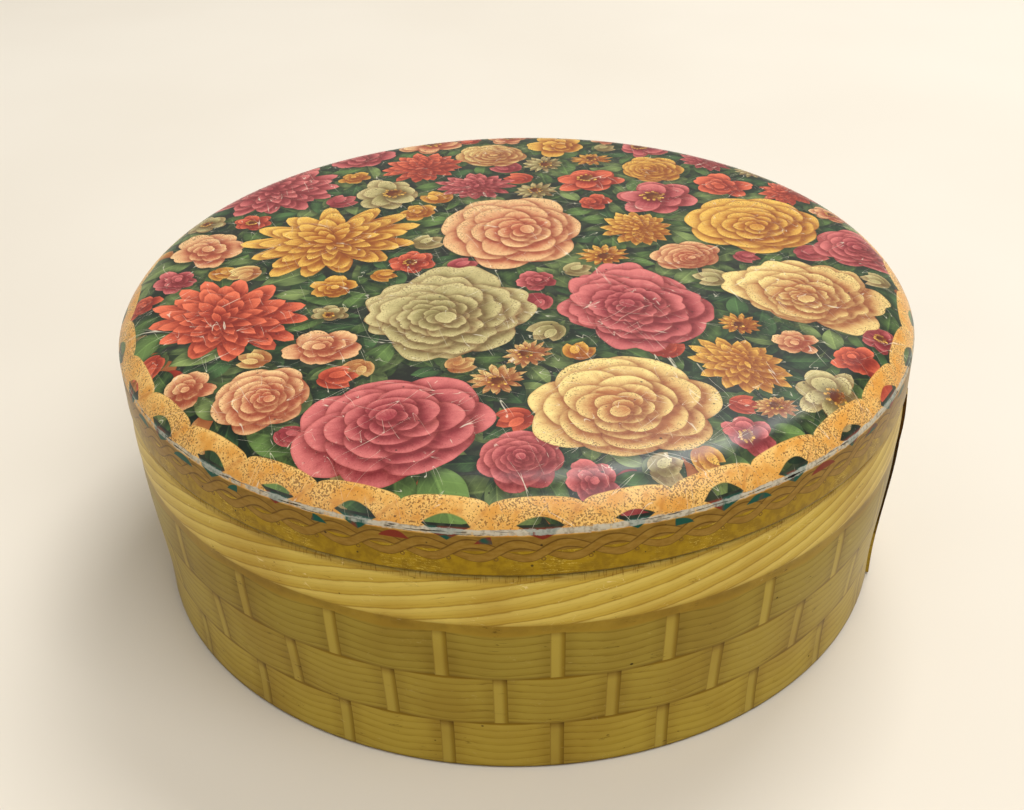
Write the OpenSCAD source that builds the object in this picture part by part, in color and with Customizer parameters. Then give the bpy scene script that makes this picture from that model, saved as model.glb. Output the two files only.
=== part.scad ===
// Round biscuit tin in printed tinplate: a drawn lid with a curled hem, a rolled wall with a
// lock seam down its side, and a base whose edge is hooked into the rolled foot of the wall.
// Millimetres, +Z up, origin on the table at the middle of the foot.

/* [Sheet] */
// Thickness of the tinplate
sheet_t = 0.3; // [0.2:0.05:0.4]

/* [Lid] */
// Outside diameter of the lid at its edge
lid_d = 240; // [180:1:300]
// Outside radius of the low bow across the middle of the lid
bow_r = 1800; // [900:50:3000]
// Outside radius of the round in which the bow turns down to the edge
round_r = 16; // [12:0.5:22]
// Slope of the round where it meets the edge, in degrees below level
round_slope = 64; // [50:1:75]
// Outside radius of the bend from the round to the skirt
edge_bend_r = 1.6; // [1:0.1:3]
// Height from the underside of the hem to the lid's edge, where the skirt begins
skirt_h = 13; // [10:0.5:20]
// Outside radius of the hem, curled inwards along the foot of the skirt
hem_curl_r = 1.1; // [0.9:0.1:1.6]

/* [Wall] */
// Height of the wall from the table to the top of its rim
wall_h = 86.4; // [60:0.1:140]
// How far the belly of the wall lies inside the lid's edge
belly_inset = 0.7; // [0.5:0.1:4]
// How far the foot lies inside the belly
foot_inset = 3; // [0:0.1:8]
// Height of the plain bulging band between the belly's crease and the lid's shoulder
band_h = 16; // [10:0.5:24]
// How far the band bulges past the belly
band_bulge = 0.4; // [0.1:0.1:0.5]
// Outside radius of the rim, curled inwards at the top of the neck
rim_curl_r = 0.9; // [0.7:0.1:1.4]
// Height of the straight stretch above the foot
foot_straight_h = 6; // [5.5:0.5:12]
// Outside radius of the roll at each side of the foot
foot_roll_r = 1; // [0.8:0.1:1.5]
// Width of the flat between the two rolls, which stands on the table
foot_flat_w = 0.5; // [0.3:0.1:1]
// Height of the wall's edge where it is turned up behind the foot
foot_hook_h = 3; // [2.5:0.1:4]

/* [Side seam] */
// Width of the lock seam
seam_w = 4; // [2:0.5:8]
// How far the folded seam stands out of the wall
seam_rise = 0.9; // [0.3:0.1:1.2]
// Where the seam lies, counted from +X towards +Y
seam_angle = -18; // [-180:1:180]

/* [Base] */
// Height of the base panel's underside above the table
panel_z = 4.2; // [3.8:0.1:5]
// Rise of the panel's raised middle
panel_step = 1.5; // [0.5:0.1:3]
// Width of the slope round the raised middle
panel_slope_w = 5; // [3:0.5:10]
// Width of the flat rim of the panel outside that slope
panel_rim_w = 13; // [6:0.5:25]
// Inside radius of the bend from the panel down to its flange
panel_bend_r = 0.4; // [0.3:0.1:1]

/* [Fits] */
// Clearance between the neck and the lid's hem
neck_clearance = 0.3; // [0.3:0.05:0.6]
// Clearance between the rim and the lid's underside
seat_clearance = 0.3; // [0.2:0.05:0.6]
// Clearance between the lid's hem and the shoulder below it
hem_clearance = 0.3; // [0.3:0.05:0.8]
// Clearance between the layers of the foot's seam
seam_clearance = 0.05; // [0.04:0.01:0.08]

/* [Hidden] */
$fn = 96;

// Colours of the print and of the bare metal
lid_colour = "DarkGoldenrod";
wall_colour = "Khaki";
base_colour = "Silver";

// Points on each long curve of the lid, the wall and the base
curve_steps = 24;
// Points on a quarter of a small bend
bend_steps = 6;
// How far round its roll a curled edge is turned
curl_turn = 270;

// Where the pieces lie, from the outside of the lid inwards
lid_r = lid_d / 2;
belly_r = lid_r - belly_inset;
foot_r = belly_r - foot_inset;
neck_r = lid_r - 2 * hem_curl_r - neck_clearance;
shoulder_r = (belly_r - neck_r) / 2;

// The lid's edge is as high as the rim lets the underside of the round come down
rim_centre = [neck_r - rim_curl_r, wall_h - rim_curl_r];
round_reach = (round_r - edge_bend_r) * [sin(round_slope), cos(round_slope)];
round_centre_r = lid_r - edge_bend_r - round_reach.x;
seat_reach = round_r - sheet_t - seat_clearance - rim_curl_r;
seat_rise = sqrt(pow(seat_reach, 2) - pow(rim_centre.x - round_centre_r, 2));
lid_edge_z = rim_centre.y - seat_rise + round_reach.y;
hem_z = lid_edge_z - skirt_h;
shoulder_z = hem_z - hem_clearance - shoulder_r;
belly_z = shoulder_z - band_h;

// The rolled foot, and the flange of the base that fills it
foot_w = 2 * foot_roll_r + foot_flat_w;
flange_w = foot_w - 2 * sheet_t - 2 * seam_clearance;
flange_r = foot_r - sheet_t - seam_clearance;
flange_turn_r = flange_w / 2 - sheet_t;
flange_z = sheet_t + seam_clearance + flange_w / 2;
flange_end_z = foot_hook_h - sheet_t;
panel_r = flange_r - sheet_t - panel_bend_r;

// Ease from 0 to 1 with a level start and end
function ease(t) = t * t * (3 - 2 * t);
// Points of an arc round a centre, from one angle to another
function arc(centre, r, from, to, steps) =
    [for (i = [0:steps]) let (a = from + (to - from) * i / steps) centre + r * [cos(a), sin(a)]];
// Steps for a bend of so many degrees
function steps_for(turn) = ceil(bend_steps * turn / 90);
// A path without its first point, to join it to one that ends there
function rest(path) = [for (i = [1:len(path) - 1]) path[i]];

// Direction from one point to the next
function heading(a, b) = (b - a) / norm(b - a);
// Leftward direction of a sheet's path at point i, lengthened at a corner to keep the thickness
function left_at(path, i) =
    let (last = len(path) - 1)
    let (before = heading(path[max(i - 1, 0)], path[max(i, 1)]))
    let (after = heading(path[min(i, last - 1)], path[min(i + 1, last)]))
    let (middle = before + after)
    [-middle.y, middle.x] * 2 / (middle * middle);
// Outline of a sheet: its outer face along the path and its inner face to the left of it
function sheet_outline(path, t) = concat(
    path,
    [for (i = [len(path) - 1:-1:0]) let (p = path[i] + t * left_at(path, i)) [max(p.x, 0), p.y]]
);

// Outer face of the lid, from the end of its curled hem to the middle of its bow: each arc runs on
// from the one before it without a corner
hem_centre = [lid_r - hem_curl_r, hem_z + hem_curl_r];
bend_centre = [lid_r - edge_bend_r, lid_edge_z];
round_centre = bend_centre - round_reach;
bow_slope = asin(round_centre_r / (bow_r - round_r));
bow_centre = [0, round_centre.y - (bow_r - round_r) * cos(bow_slope)];
lid_path = concat(
    arc(hem_centre, hem_curl_r, 360 - curl_turn, 360, steps_for(curl_turn)),
    arc(bend_centre, edge_bend_r, 0, 90 - round_slope, bend_steps),
    rest(arc(round_centre, round_r, 90 - round_slope, 90 - bow_slope, curve_steps)),
    rest(arc(bow_centre, bow_r, 90 - bow_slope, 90, curve_steps))
);

// Outer face of the wall between its straight foot and its shoulder
taper_path = [for (i = [0:curve_steps]) let (t = i / curve_steps)
    [foot_r + foot_inset * ease(t), foot_straight_h + (belly_z - foot_straight_h) * t]];
band_path = [for (i = [1:curve_steps]) let (t = i / curve_steps)
    [belly_r + band_bulge * sin(180 * t), belly_z + band_h * t]];
side_path = concat(taper_path, band_path);

// Outer face of the wall, from its edge behind the foot to the end of its curled rim
foot_out = [foot_r - foot_roll_r, foot_roll_r];
foot_in = foot_out - [foot_flat_w, 0];
shoulder_out = [belly_r - shoulder_r, shoulder_z];
shoulder_in = shoulder_out + [0, 2 * shoulder_r];
wall_path = concat(
    [[foot_r - foot_w, foot_hook_h]],
    arc(foot_in, foot_roll_r, 180, 270, bend_steps),
    arc(foot_out, foot_roll_r, 270, 360, bend_steps),
    side_path,
    [for (p = arc(shoulder_out, shoulder_r, 0, 90, bend_steps)) if (p.y > shoulder_z) p],
    [for (p = arc(shoulder_in, shoulder_r, 270, 180, bend_steps)) if (p.x < shoulder_in.x) p],
    arc(rim_centre, rim_curl_r, 0, curl_turn, steps_for(curl_turn))
);

// Underside of the base, from its middle to the end of the flange turned up in the foot
base_path = concat(
    [[0, panel_z + panel_step]],
    [for (i = [0:curve_steps / 2]) let (t = 2 * i / curve_steps)
        [panel_r - panel_rim_w - panel_slope_w * (1 - t), panel_z + panel_step * (1 - ease(t))]],
    arc([panel_r, panel_z - panel_bend_r], panel_bend_r, 90, 0, bend_steps),
    arc([flange_r - flange_w / 2, flange_z], flange_turn_r, 0, -180, 2 * bend_steps),
    [[flange_r - flange_w + sheet_t, flange_end_z]]
);

// A sheet turned round the tin's axis
module turned_sheet(path) {
    rotate_extrude()
        polygon(sheet_outline(path, sheet_t));
}

// The folded seam: a strip that follows the side of the wall from the foot to the shoulder and
// stands out of it
module side_seam() {
    seam_turn = seam_w / belly_r * 180 / PI;
    seam_path = concat([[foot_r, foot_roll_r]], side_path);
    outside = [for (p = seam_path) p + [seam_rise, 0]];
    inside = [for (i = [len(seam_path) - 1:-1:0]) seam_path[i] - [sheet_t / 2, 0]];
    rotate([0, 0, seam_angle - seam_turn / 2])
        rotate_extrude(angle = seam_turn)
            polygon(concat(outside, inside));
}

module lid() {
    color(lid_colour)
        turned_sheet(lid_path);
}

module body_wall() {
    color(wall_colour)
        union() {
            turned_sheet(wall_path);
            side_seam();
        }
}

module base() {
    color(base_colour)
        turned_sheet(base_path);
}

lid();
body_wall();
base();
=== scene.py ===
"""Looks of a round biscuit tin: a printed lid, a printed wall and a bare base, around the packed frame.

The lid carries a garden of flowers inside a plaited border, and the wall a basket weave below a rope band.
"""

import logging
import math
from dataclasses import dataclass
from enum import Enum, IntEnum
from functools import cached_property
from itertools import pairwise
from typing import Callable, Union

import bpy
import numpy as np
from mathutils import Matrix, Vector
from mathutils.bvhtree import BVHTree
from mathutils.geometry import delaunay_2d_cdt
from mathutils.kdtree import KDTree


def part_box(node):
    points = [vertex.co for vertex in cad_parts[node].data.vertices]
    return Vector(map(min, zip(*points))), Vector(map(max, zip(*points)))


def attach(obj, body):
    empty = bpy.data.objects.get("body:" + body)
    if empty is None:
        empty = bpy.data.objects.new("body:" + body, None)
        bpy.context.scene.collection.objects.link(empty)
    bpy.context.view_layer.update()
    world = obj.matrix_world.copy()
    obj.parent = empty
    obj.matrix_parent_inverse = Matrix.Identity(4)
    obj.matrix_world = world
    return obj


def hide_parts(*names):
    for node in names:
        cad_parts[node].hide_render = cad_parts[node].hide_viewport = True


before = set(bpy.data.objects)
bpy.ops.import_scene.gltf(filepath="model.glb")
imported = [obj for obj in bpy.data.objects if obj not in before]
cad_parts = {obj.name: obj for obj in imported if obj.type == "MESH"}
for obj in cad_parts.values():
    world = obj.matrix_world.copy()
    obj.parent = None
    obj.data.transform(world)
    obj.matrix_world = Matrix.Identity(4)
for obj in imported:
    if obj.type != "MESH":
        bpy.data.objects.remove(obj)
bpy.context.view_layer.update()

LOG = logging.getLogger("biscuit_tin")
MM = 0.001
FULL_TURN = 2 * math.pi
QUARTER = math.pi / 2
CURL_TURN = math.radians(270)
SMOOTH_ANGLE = math.radians(40)
PRINT_RELIEF = 0.06 * MM
METAL_RELIEF = 0.04 * MM
CURVE_STEPS = 24
BEND_STEPS = 6

Point = tuple[float, float]
Colour = tuple[float, float, float, float]


def ink_colour(red: int, green: int, blue: int) -> Colour:
    """Give the linear colour of an ink that is written in screen bytes.

    Args:
        red: Red from 0 to 255.
        green: Green from 0 to 255.
        blue: Blue from 0 to 255.

    Returns:
        The linear colour with full alpha.
    """
    return (*(((byte / 255 + 0.055) / 1.055) ** 2.4 for byte in (red, green, blue)), 1.0)


@dataclass(frozen=True)
class TinSizes:
    """Sizes of the tin in metres. The overall ones come from the frame."""

    lid_radius: float
    hem_z: float
    rim_z: float
    sheet: float = 0.3 * MM
    bow_radius: float = 1800 * MM
    round_radius: float = 16 * MM
    round_slope: float = math.radians(64)
    edge_bend: float = 1.6 * MM
    skirt_height: float = 13 * MM
    hem_curl: float = 1.1 * MM
    neck_clearance: float = 0.3 * MM
    hem_clearance: float = 0.3 * MM
    belly_inset: float = 0.7 * MM
    foot_inset: float = 3 * MM
    band_height: float = 16 * MM
    band_bulge: float = 0.4 * MM
    rim_curl: float = 0.9 * MM
    foot_straight: float = 6 * MM
    foot_roll: float = 1 * MM
    foot_flat: float = 0.5 * MM
    foot_hook: float = 3 * MM
    seam_rise: float = 0.9 * MM
    seam_angle: float = math.radians(-18)
    seam_clearance: float = 0.05 * MM
    panel_z: float = 4.2 * MM
    panel_step: float = 1.5 * MM
    panel_slope: float = 5 * MM
    panel_rim: float = 13 * MM
    panel_bend: float = 0.4 * MM

    @classmethod
    def from_frame(cls) -> "TinSizes":
        """Read the overall sizes off the packed nodes.

        Returns:
            The tin's sizes.
        """
        lid_low, lid_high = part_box("lid")
        wall_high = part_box("body_wall")[1]
        radius = min(lid_high.x - lid_low.x, lid_high.y - lid_low.y) / 2
        return cls(radius, lid_low.z, wall_high.z)

    @property
    def lid_edge_z(self) -> float:
        """Height of the lid's edge, where the skirt begins."""
        return self.hem_z + self.skirt_height

    @property
    def round_centre(self) -> Point:
        """Centre of the round between the lid's bow and its edge.

        Returns:
            Its radius and its height.
        """
        reach = self.round_radius - self.edge_bend
        radius = self.lid_radius - self.edge_bend - reach * math.sin(self.round_slope)
        return (radius, self.lid_edge_z - reach * math.cos(self.round_slope))

    @property
    def bow_slope(self) -> float:
        """Angle of the bow below level where the round begins."""
        return math.asin(self.round_centre[0] / (self.bow_radius - self.round_radius))

    @property
    def bow_centre(self) -> Point:
        """Centre of the low bow across the lid's middle."""
        reach = (self.bow_radius - self.round_radius) * math.cos(self.bow_slope)
        return (0.0, self.round_centre[1] - reach)

    @property
    def belly_radius(self) -> float:
        """Outside radius of the wall at its belly."""
        return self.lid_radius - self.belly_inset

    @property
    def foot_radius(self) -> float:
        """Outside radius of the wall at its foot."""
        return self.belly_radius - self.foot_inset

    @property
    def neck_radius(self) -> float:
        """Outside radius of the neck under the lid."""
        return self.lid_radius - 2 * self.hem_curl - self.neck_clearance

    @property
    def shoulder(self) -> float:
        """Radius of each of the shoulder's two bends."""
        return (self.belly_radius - self.neck_radius) / 2

    @property
    def shoulder_z(self) -> float:
        """Height where the wall starts to turn in below the hem."""
        return self.hem_z - self.hem_clearance - self.shoulder

    @property
    def belly_z(self) -> float:
        """Height of the crease between the weave and the rope band."""
        return self.shoulder_z - self.band_height

    def dome_z(self, radii: np.ndarray) -> np.ndarray:
        """Give the height of the lid's outer face inside its edge.

        Args:
            radii: Distances from the tin's axis.

        Returns:
            The heights.
        """
        centre_radius, centre_z = self.round_centre
        bow = self.bow_centre[1] + np.sqrt(self.bow_radius**2 - radii**2)
        reach = np.clip(radii - centre_radius, 0, self.round_radius)
        turned = centre_z + np.sqrt(self.round_radius**2 - reach**2)
        return np.where(radii < self.bow_radius * math.sin(self.bow_slope), bow, turned)


def arc(centre: Point, radius: float, start: float, end: float, steps: int = 0) -> list[Point]:
    """Give the points of an arc in the plane of a section.

    Args:
        centre: Radius and height of the arc's centre.
        radius: Radius of the arc.
        start: Angle of the first point.
        end: Angle of the last point.
        steps: Number of steps, or 0 for as many as a small bend needs.

    Returns:
        The points from start to end.
    """
    steps = steps or max(1, math.ceil(BEND_STEPS * abs(end - start) / QUARTER))
    angles = [start + (end - start) * i / steps for i in range(steps + 1)]
    return [(centre[0] + radius * math.cos(a), centre[1] + radius * math.sin(a)) for a in angles]


def ease(share: float) -> float:
    """Ease from 0 to 1 with a level start and end."""
    return share * share * (3 - 2 * share)


def unit(angle: float) -> np.ndarray:
    """Give the unit vector at an angle."""
    return np.array([math.cos(angle), math.sin(angle)])


def rays(angles: np.ndarray) -> np.ndarray:
    """Give the unit vectors at many angles, one a row."""
    return np.column_stack([np.cos(angles), np.sin(angles)])


def other_face(path: list[Point], thickness: float) -> list[Point]:
    """Offset a sheet's outer face to the left by its thickness, for its inner face.

    Args:
        path: Points of the outer face.
        thickness: Thickness of the sheet.

    Returns:
        One point of the inner face for each point of the path.
    """
    points = np.array(path)
    steps = np.diff(points, axis=0)
    headings = steps / np.linalg.norm(steps, axis=1)[:, None]
    before = np.vstack([headings[:1], headings])
    after = np.vstack([headings, headings[-1:]])
    middle = before + after
    left = np.column_stack([-middle[:, 1], middle[:, 0]])
    inner = points + thickness * 2 * left / (middle * middle).sum(axis=1)[:, None]
    inner[:, 0] = np.maximum(inner[:, 0], 0)
    return [(float(r), float(z)) for r, z in inner]


@dataclass
class TurnedShell:
    """A sheet-metal piece turned round the tin's axis from the outline of its section."""

    name: str
    outline: list[Point]
    outer_count: int
    start_angle: float = 0.0
    segments: int = 192
    merge_distance: float = 0.002 * MM

    def place(self, point: Point) -> Vector:
        """Give the place in space of a point of the section."""
        return Vector((*(point[0] * unit(self.start_angle)), point[1]))

    def model(self) -> bpy.types.Object:
        """Extrude a vertex along the outline and spin it into a shell.

        Returns:
            The modelled piece, with its outer faces in slot 0 and its inner faces in slot 1.
        """
        bpy.ops.object.select_all(action="DESELECT")
        bpy.ops.mesh.primitive_plane_add(size=MM)
        piece = bpy.context.active_object
        piece.name = self.name
        piece.data.name = self.name
        bpy.ops.object.mode_set(mode="EDIT")
        bpy.ops.mesh.select_mode(type="VERT")
        bpy.ops.mesh.select_all(action="SELECT")
        bpy.ops.mesh.merge(type="CENTER")
        bpy.ops.transform.translate(value=self.place(self.outline[0]))
        for here, there in pairwise(self.outline):
            step = self.place(there) - self.place(here)
            bpy.ops.mesh.extrude_vertices_move(TRANSFORM_OT_translate={"value": step})
        bpy.ops.mesh.select_all(action="SELECT")
        bpy.ops.mesh.spin(steps=self.segments, angle=FULL_TURN, center=(0, 0, 0), axis=(0, 0, 1))
        bpy.ops.mesh.select_all(action="SELECT")
        bpy.ops.mesh.remove_doubles(threshold=self.merge_distance)
        bpy.ops.mesh.normals_make_consistent(inside=False)
        bpy.ops.object.mode_set(mode="OBJECT")
        self.sort_faces(piece)
        return piece

    def sort_faces(self, piece: bpy.types.Object) -> None:
        """Put the faces of the sheet's inner side into material slot 1.

        Args:
            piece: The spun piece.
        """
        centres = np.zeros(len(piece.data.polygons) * 3)
        piece.data.polygons.foreach_get("center", centres)
        centres = centres.reshape(-1, 3)
        section = np.column_stack([np.hypot(centres[:, 0], centres[:, 1]), centres[:, 2]])
        corners = np.array(self.outline)
        middles = (corners[:-1] + corners[1:]) / 2
        nearest = np.empty(len(section), int)
        for i, point in enumerate(section):
            nearest[i] = np.argmin(((middles - point) ** 2).sum(axis=1))
        slots = (nearest >= self.outer_count - 1).astype(np.int32)
        piece.data.polygons.foreach_set("material_index", slots)


Number = Union["Field", float]
Paint = Union[bpy.types.NodeSocket, Colour]


def operation(name: str, meaning: str, swapped: bool = False) -> Callable[..., "Field"]:
    """Make a method of Field that works out one operation.

    Args:
        name: The operation's name.
        meaning: What the method does, for its docstring.
        swapped: Whether the other number comes first.

    Returns:
        The method.
    """
    def method(field: "Field", *others: Number) -> "Field":
        """Work out the operation."""
        return field.board.math(name, *((*others, field) if swapped else (field, *others)))

    method.__doc__ = meaning
    return method


class Field:
    """A number worked out at every point of a surface, with the usual arithmetic."""

    def __init__(self, board: "Board", socket: bpy.types.NodeSocket) -> None:
        """Keep the board that the number is on and the socket that gives it."""
        self.board = board
        self.socket = socket

    __add__ = __radd__ = operation("ADD", "Add a number.")
    __sub__ = operation("SUBTRACT", "Take a number away.")
    __rsub__ = operation("SUBTRACT", "Take this away from a number.", swapped=True)
    __mul__ = __rmul__ = operation("MULTIPLY", "Multiply by a number.")
    __truediv__ = operation("DIVIDE", "Divide by a number.")
    power = operation("POWER", "Raise to a power.")
    size = operation("ABSOLUTE", "Drop the sign.")
    sine = operation("SINE", "Sine of an angle.")
    whole = operation("FLOOR", "Whole number below.")
    part = operation("FRACT", "Fraction above the whole number below.")
    least = operation("MINIMUM", "Lesser of the two.")
    most = operation("MAXIMUM", "Greater of the two.")
    above = operation("GREATER_THAN", "1 where this is over the limit, and 0 elsewhere.")

    def rise(self, low: Number, high: Number) -> "Field":
        """Go smoothly from 0 at low to 1 at high."""
        return self.board.rise(self, low, high)

    def near(self, middle: Number, inner: float, outer: float) -> "Field":
        """1 within inner of the middle, and smoothly 0 past outer."""
        return 1.0 - (self - middle).size().rise(inner, outer)


class Board:
    """The node tree of one finish, written as formulas."""

    def __init__(self, name: str) -> None:
        """Start a material with a shader and nothing else.

        Args:
            name: The material's name.
        """
        self.material = bpy.data.materials.new(name)
        self.material.use_nodes = True
        self.tree = self.material.node_tree
        self.tree.nodes.clear()
        output = self.add("ShaderNodeOutputMaterial")
        self.shader = self.add("ShaderNodeBsdfPrincipled")
        self.tree.links.new(self.shader.outputs["BSDF"], output.inputs["Surface"])

    @cached_property
    def places(self) -> tuple[Field, Field, Field]:
        """Where each point of the piece lies, in millimetres."""
        return self.split(self.add("ShaderNodeTexCoord").outputs["Object"], 1 / MM)

    @cached_property
    def place(self) -> bpy.types.NodeSocket:
        """The same as one vector."""
        return self.vector(*self.places)

    @cached_property
    def angle(self) -> Field:
        """Angle round the tin's axis."""
        return self.math("ARCTAN2", self.places[1], self.places[0])

    def add(self, kind: str, **settings: object) -> bpy.types.Node:
        """Add a node.

        Args:
            kind: The node's type.
            **settings: Values of its own properties.

        Returns:
            The new node.
        """
        node = self.tree.nodes.new(kind)
        for name, value in settings.items():
            setattr(node, name, value)
        return node

    def feed(self, value: Union[Number, Paint], socket: bpy.types.NodeSocket) -> None:
        """Give a socket its value, as a link or as a constant.

        Args:
            value: A field, a socket, a number or a colour.
            socket: The socket that takes it.
        """
        source = value.socket if isinstance(value, Field) else value
        if isinstance(source, bpy.types.NodeSocket):
            self.tree.links.new(source, socket)
        else:
            socket.default_value = source

    def math(self, name: str, *values: Number) -> Field:
        """Work out one operation on numbers.

        Args:
            name: The operation's name.
            *values: Its operands.

        Returns:
            The result.
        """
        node = self.add("ShaderNodeMath", operation=name)
        for value, socket in zip(values, node.inputs):
            self.feed(value, socket)
        return Field(self, node.outputs[0])

    def rise(self, value: Field, low: Number, high: Number) -> Field:
        """Ease a number from 0 to 1 between two limits.

        Args:
            value: The number.
            low: Where the result is 0.
            high: Where the result is 1.

        Returns:
            The eased share.
        """
        node = self.add("ShaderNodeMapRange", interpolation_type="SMOOTHSTEP")
        for item, socket in zip((value, low, high), node.inputs):
            self.feed(item, socket)
        return Field(self, node.outputs[0])

    def vector(self, x: Number, y: Number, z: Number = 0.0) -> bpy.types.NodeSocket:
        """Join three numbers into a vector.

        Args:
            x: First number.
            y: Second number.
            z: Third number.

        Returns:
            The vector.
        """
        node = self.add("ShaderNodeCombineXYZ")
        for value, socket in zip((x, y, z), node.inputs):
            self.feed(value, socket)
        return node.outputs[0]

    def split(self, vector: bpy.types.NodeSocket, scale: float = 1.0) -> tuple[Field, Field, Field]:
        """Take a vector apart into three numbers, each times a scale.

        Args:
            vector: The vector.
            scale: What each number is multiplied by.

        Returns:
            The three numbers.
        """
        node = self.add("ShaderNodeSeparateXYZ")
        self.feed(vector, node.inputs[0])
        fields = [Field(self, socket) for socket in node.outputs]
        if scale != 1.0:
            fields = [f * scale for f in fields]
        return fields[0], fields[1], fields[2]

    def attribute(self, name: str) -> bpy.types.Node:
        """Read one of the mesh's own attributes."""
        return self.add("ShaderNodeAttribute", attribute_name=name)

    def noise(self, scale: float, detail: float = 2.0, roughness: float = 0.5,
              place: Union[bpy.types.NodeSocket, None] = None) -> Field:
        """Cloudy noise from about 0 to 1.

        Args:
            scale: How many clouds fit in one millimetre, or in one unit of the given place.
            detail: How many finer layers it has.
            roughness: How strong the finer layers are.
            place: Where it is read, if not at the piece's own places.

        Returns:
            The noise.
        """
        node = self.add("ShaderNodeTexNoise")
        self.feed(self.place if place is None else place, node.inputs["Vector"])
        self.feed(scale, node.inputs["Scale"])
        self.feed(detail, node.inputs["Detail"])
        self.feed(roughness, node.inputs["Roughness"])
        return Field(self, node.outputs[0])

    def grain(self, x: Number, y: Number, z: Number = 0.0, detail: float = 2.0,
              roughness: float = 0.5) -> Field:
        """Noise that is stretched by its own coordinates.

        Args:
            x: First coordinate.
            y: Second coordinate.
            z: Third coordinate, where a number gives another pattern.
            detail: How many finer layers it has.
            roughness: How strong the finer layers are.

        Returns:
            The noise.
        """
        return self.noise(1.0, detail, roughness, self.vector(x, y, z))

    def specks(self, vector: bpy.types.NodeSocket, scale: float, size: float, crowd: Number) -> Field:
        """Scatter specks of uneven size.

        Args:
            vector: Where they are read.
            scale: How many specks could fit in one unit of the vector.
            size: Largest radius of a speck, as a share of its cell.
            crowd: How many of the cells hold one, from 0 to 1.

        Returns:
            1 on a speck and 0 elsewhere.
        """
        node = self.add("ShaderNodeTexVoronoi")
        self.feed(vector, node.inputs["Vector"])
        self.feed(scale, node.inputs["Scale"])
        luck = self.split(node.outputs["Color"])
        limit = luck[1] * size
        spot = 1.0 - self.rise(Field(self, node.outputs["Distance"]), limit * 0.6, limit + 0.03)
        return spot * (1.0 - luck[0].above(crowd))

    def mix(self, share: Number, first: Paint, second: Paint,
            blend: str = "MIX") -> bpy.types.NodeSocket:
        """Mix two colours.

        Args:
            share: How much of the second, from 0 to 1.
            first: The colour at 0.
            second: The colour at 1.
            blend: How the second is laid on the first.

        Returns:
            The mixed colour.
        """
        node = self.add("ShaderNodeMix", data_type="RGBA", blend_type=blend)
        self.feed(share, node.inputs[0])
        self.feed(first, node.inputs[6])
        self.feed(second, node.inputs[7])
        return node.outputs[2]

    def darken(self, colour: Paint, share: Number, shade: Colour) -> bpy.types.NodeSocket:
        """Lay a shade over a colour as a glaze."""
        return self.mix(share, colour, shade, "MULTIPLY")

    def bump(self, height: Field, distance: float) -> None:
        """Give the shader's surface a fine relief.

        Args:
            height: The relief from 0 to 1.
            distance: What a height of 1 stands for, in metres.
        """
        node = self.add("ShaderNodeBump")
        self.feed(height, node.inputs["Height"])
        self.feed(distance, node.inputs["Distance"])
        self.tree.links.new(node.outputs["Normal"], self.shader.inputs["Normal"])

    def finish(self, colour: Paint, roughness: Number, metal: Number = 0.0,
               sheen: float = 0.5) -> bpy.types.Material:
        """Feed the shader and give the finished material.

        Args:
            colour: The base colour.
            roughness: The roughness.
            metal: How metallic it is.
            sheen: How strongly its surface mirrors, 0.5 for a plain lacquer.

        Returns:
            The material.
        """
        self.feed(colour, self.shader.inputs["Base Color"])
        self.feed(roughness, self.shader.inputs["Roughness"])
        self.feed(metal, self.shader.inputs["Metallic"])
        self.shader.inputs["Specular IOR Level"].default_value = sheen
        return self.material


class Kind(IntEnum):
    """What a printed shape stands for. Bare ground has 0."""

    LEAF = 1
    PETAL = 2
    HEART = 3


class Form(Enum):
    """How a printed shape is outlined."""

    ROUND = "round"
    POINTED = "pointed"
    NOTCHED = "notched"
    LENS = "lens"


@dataclass(frozen=True)
class Ink:
    """The two ends of a printed shape's shading."""

    deep: Colour
    light: Colour


GOLD = Ink(ink_colour(176, 104, 24), ink_colour(234, 188, 86))
CORAL = Ink(ink_colour(162, 52, 32), ink_colour(228, 114, 78))
PINK = Ink(ink_colour(148, 48, 56), ink_colour(214, 118, 112))
CREAM = Ink(ink_colour(180, 114, 62), ink_colour(236, 210, 134))
PEACH = Ink(ink_colour(186, 98, 66), ink_colour(238, 196, 138))
IVORY = Ink(ink_colour(140, 128, 76), ink_colour(210, 194, 136))
STAMEN = Ink(ink_colour(120, 58, 6), ink_colour(250, 206, 92))
LEAF_INKS = (
    Ink(ink_colour(28, 48, 24), ink_colour(118, 148, 76)),
    Ink(ink_colour(42, 62, 34), ink_colour(146, 164, 94)),
    Ink(ink_colour(22, 42, 26), ink_colour(88, 124, 68)),
)


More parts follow.
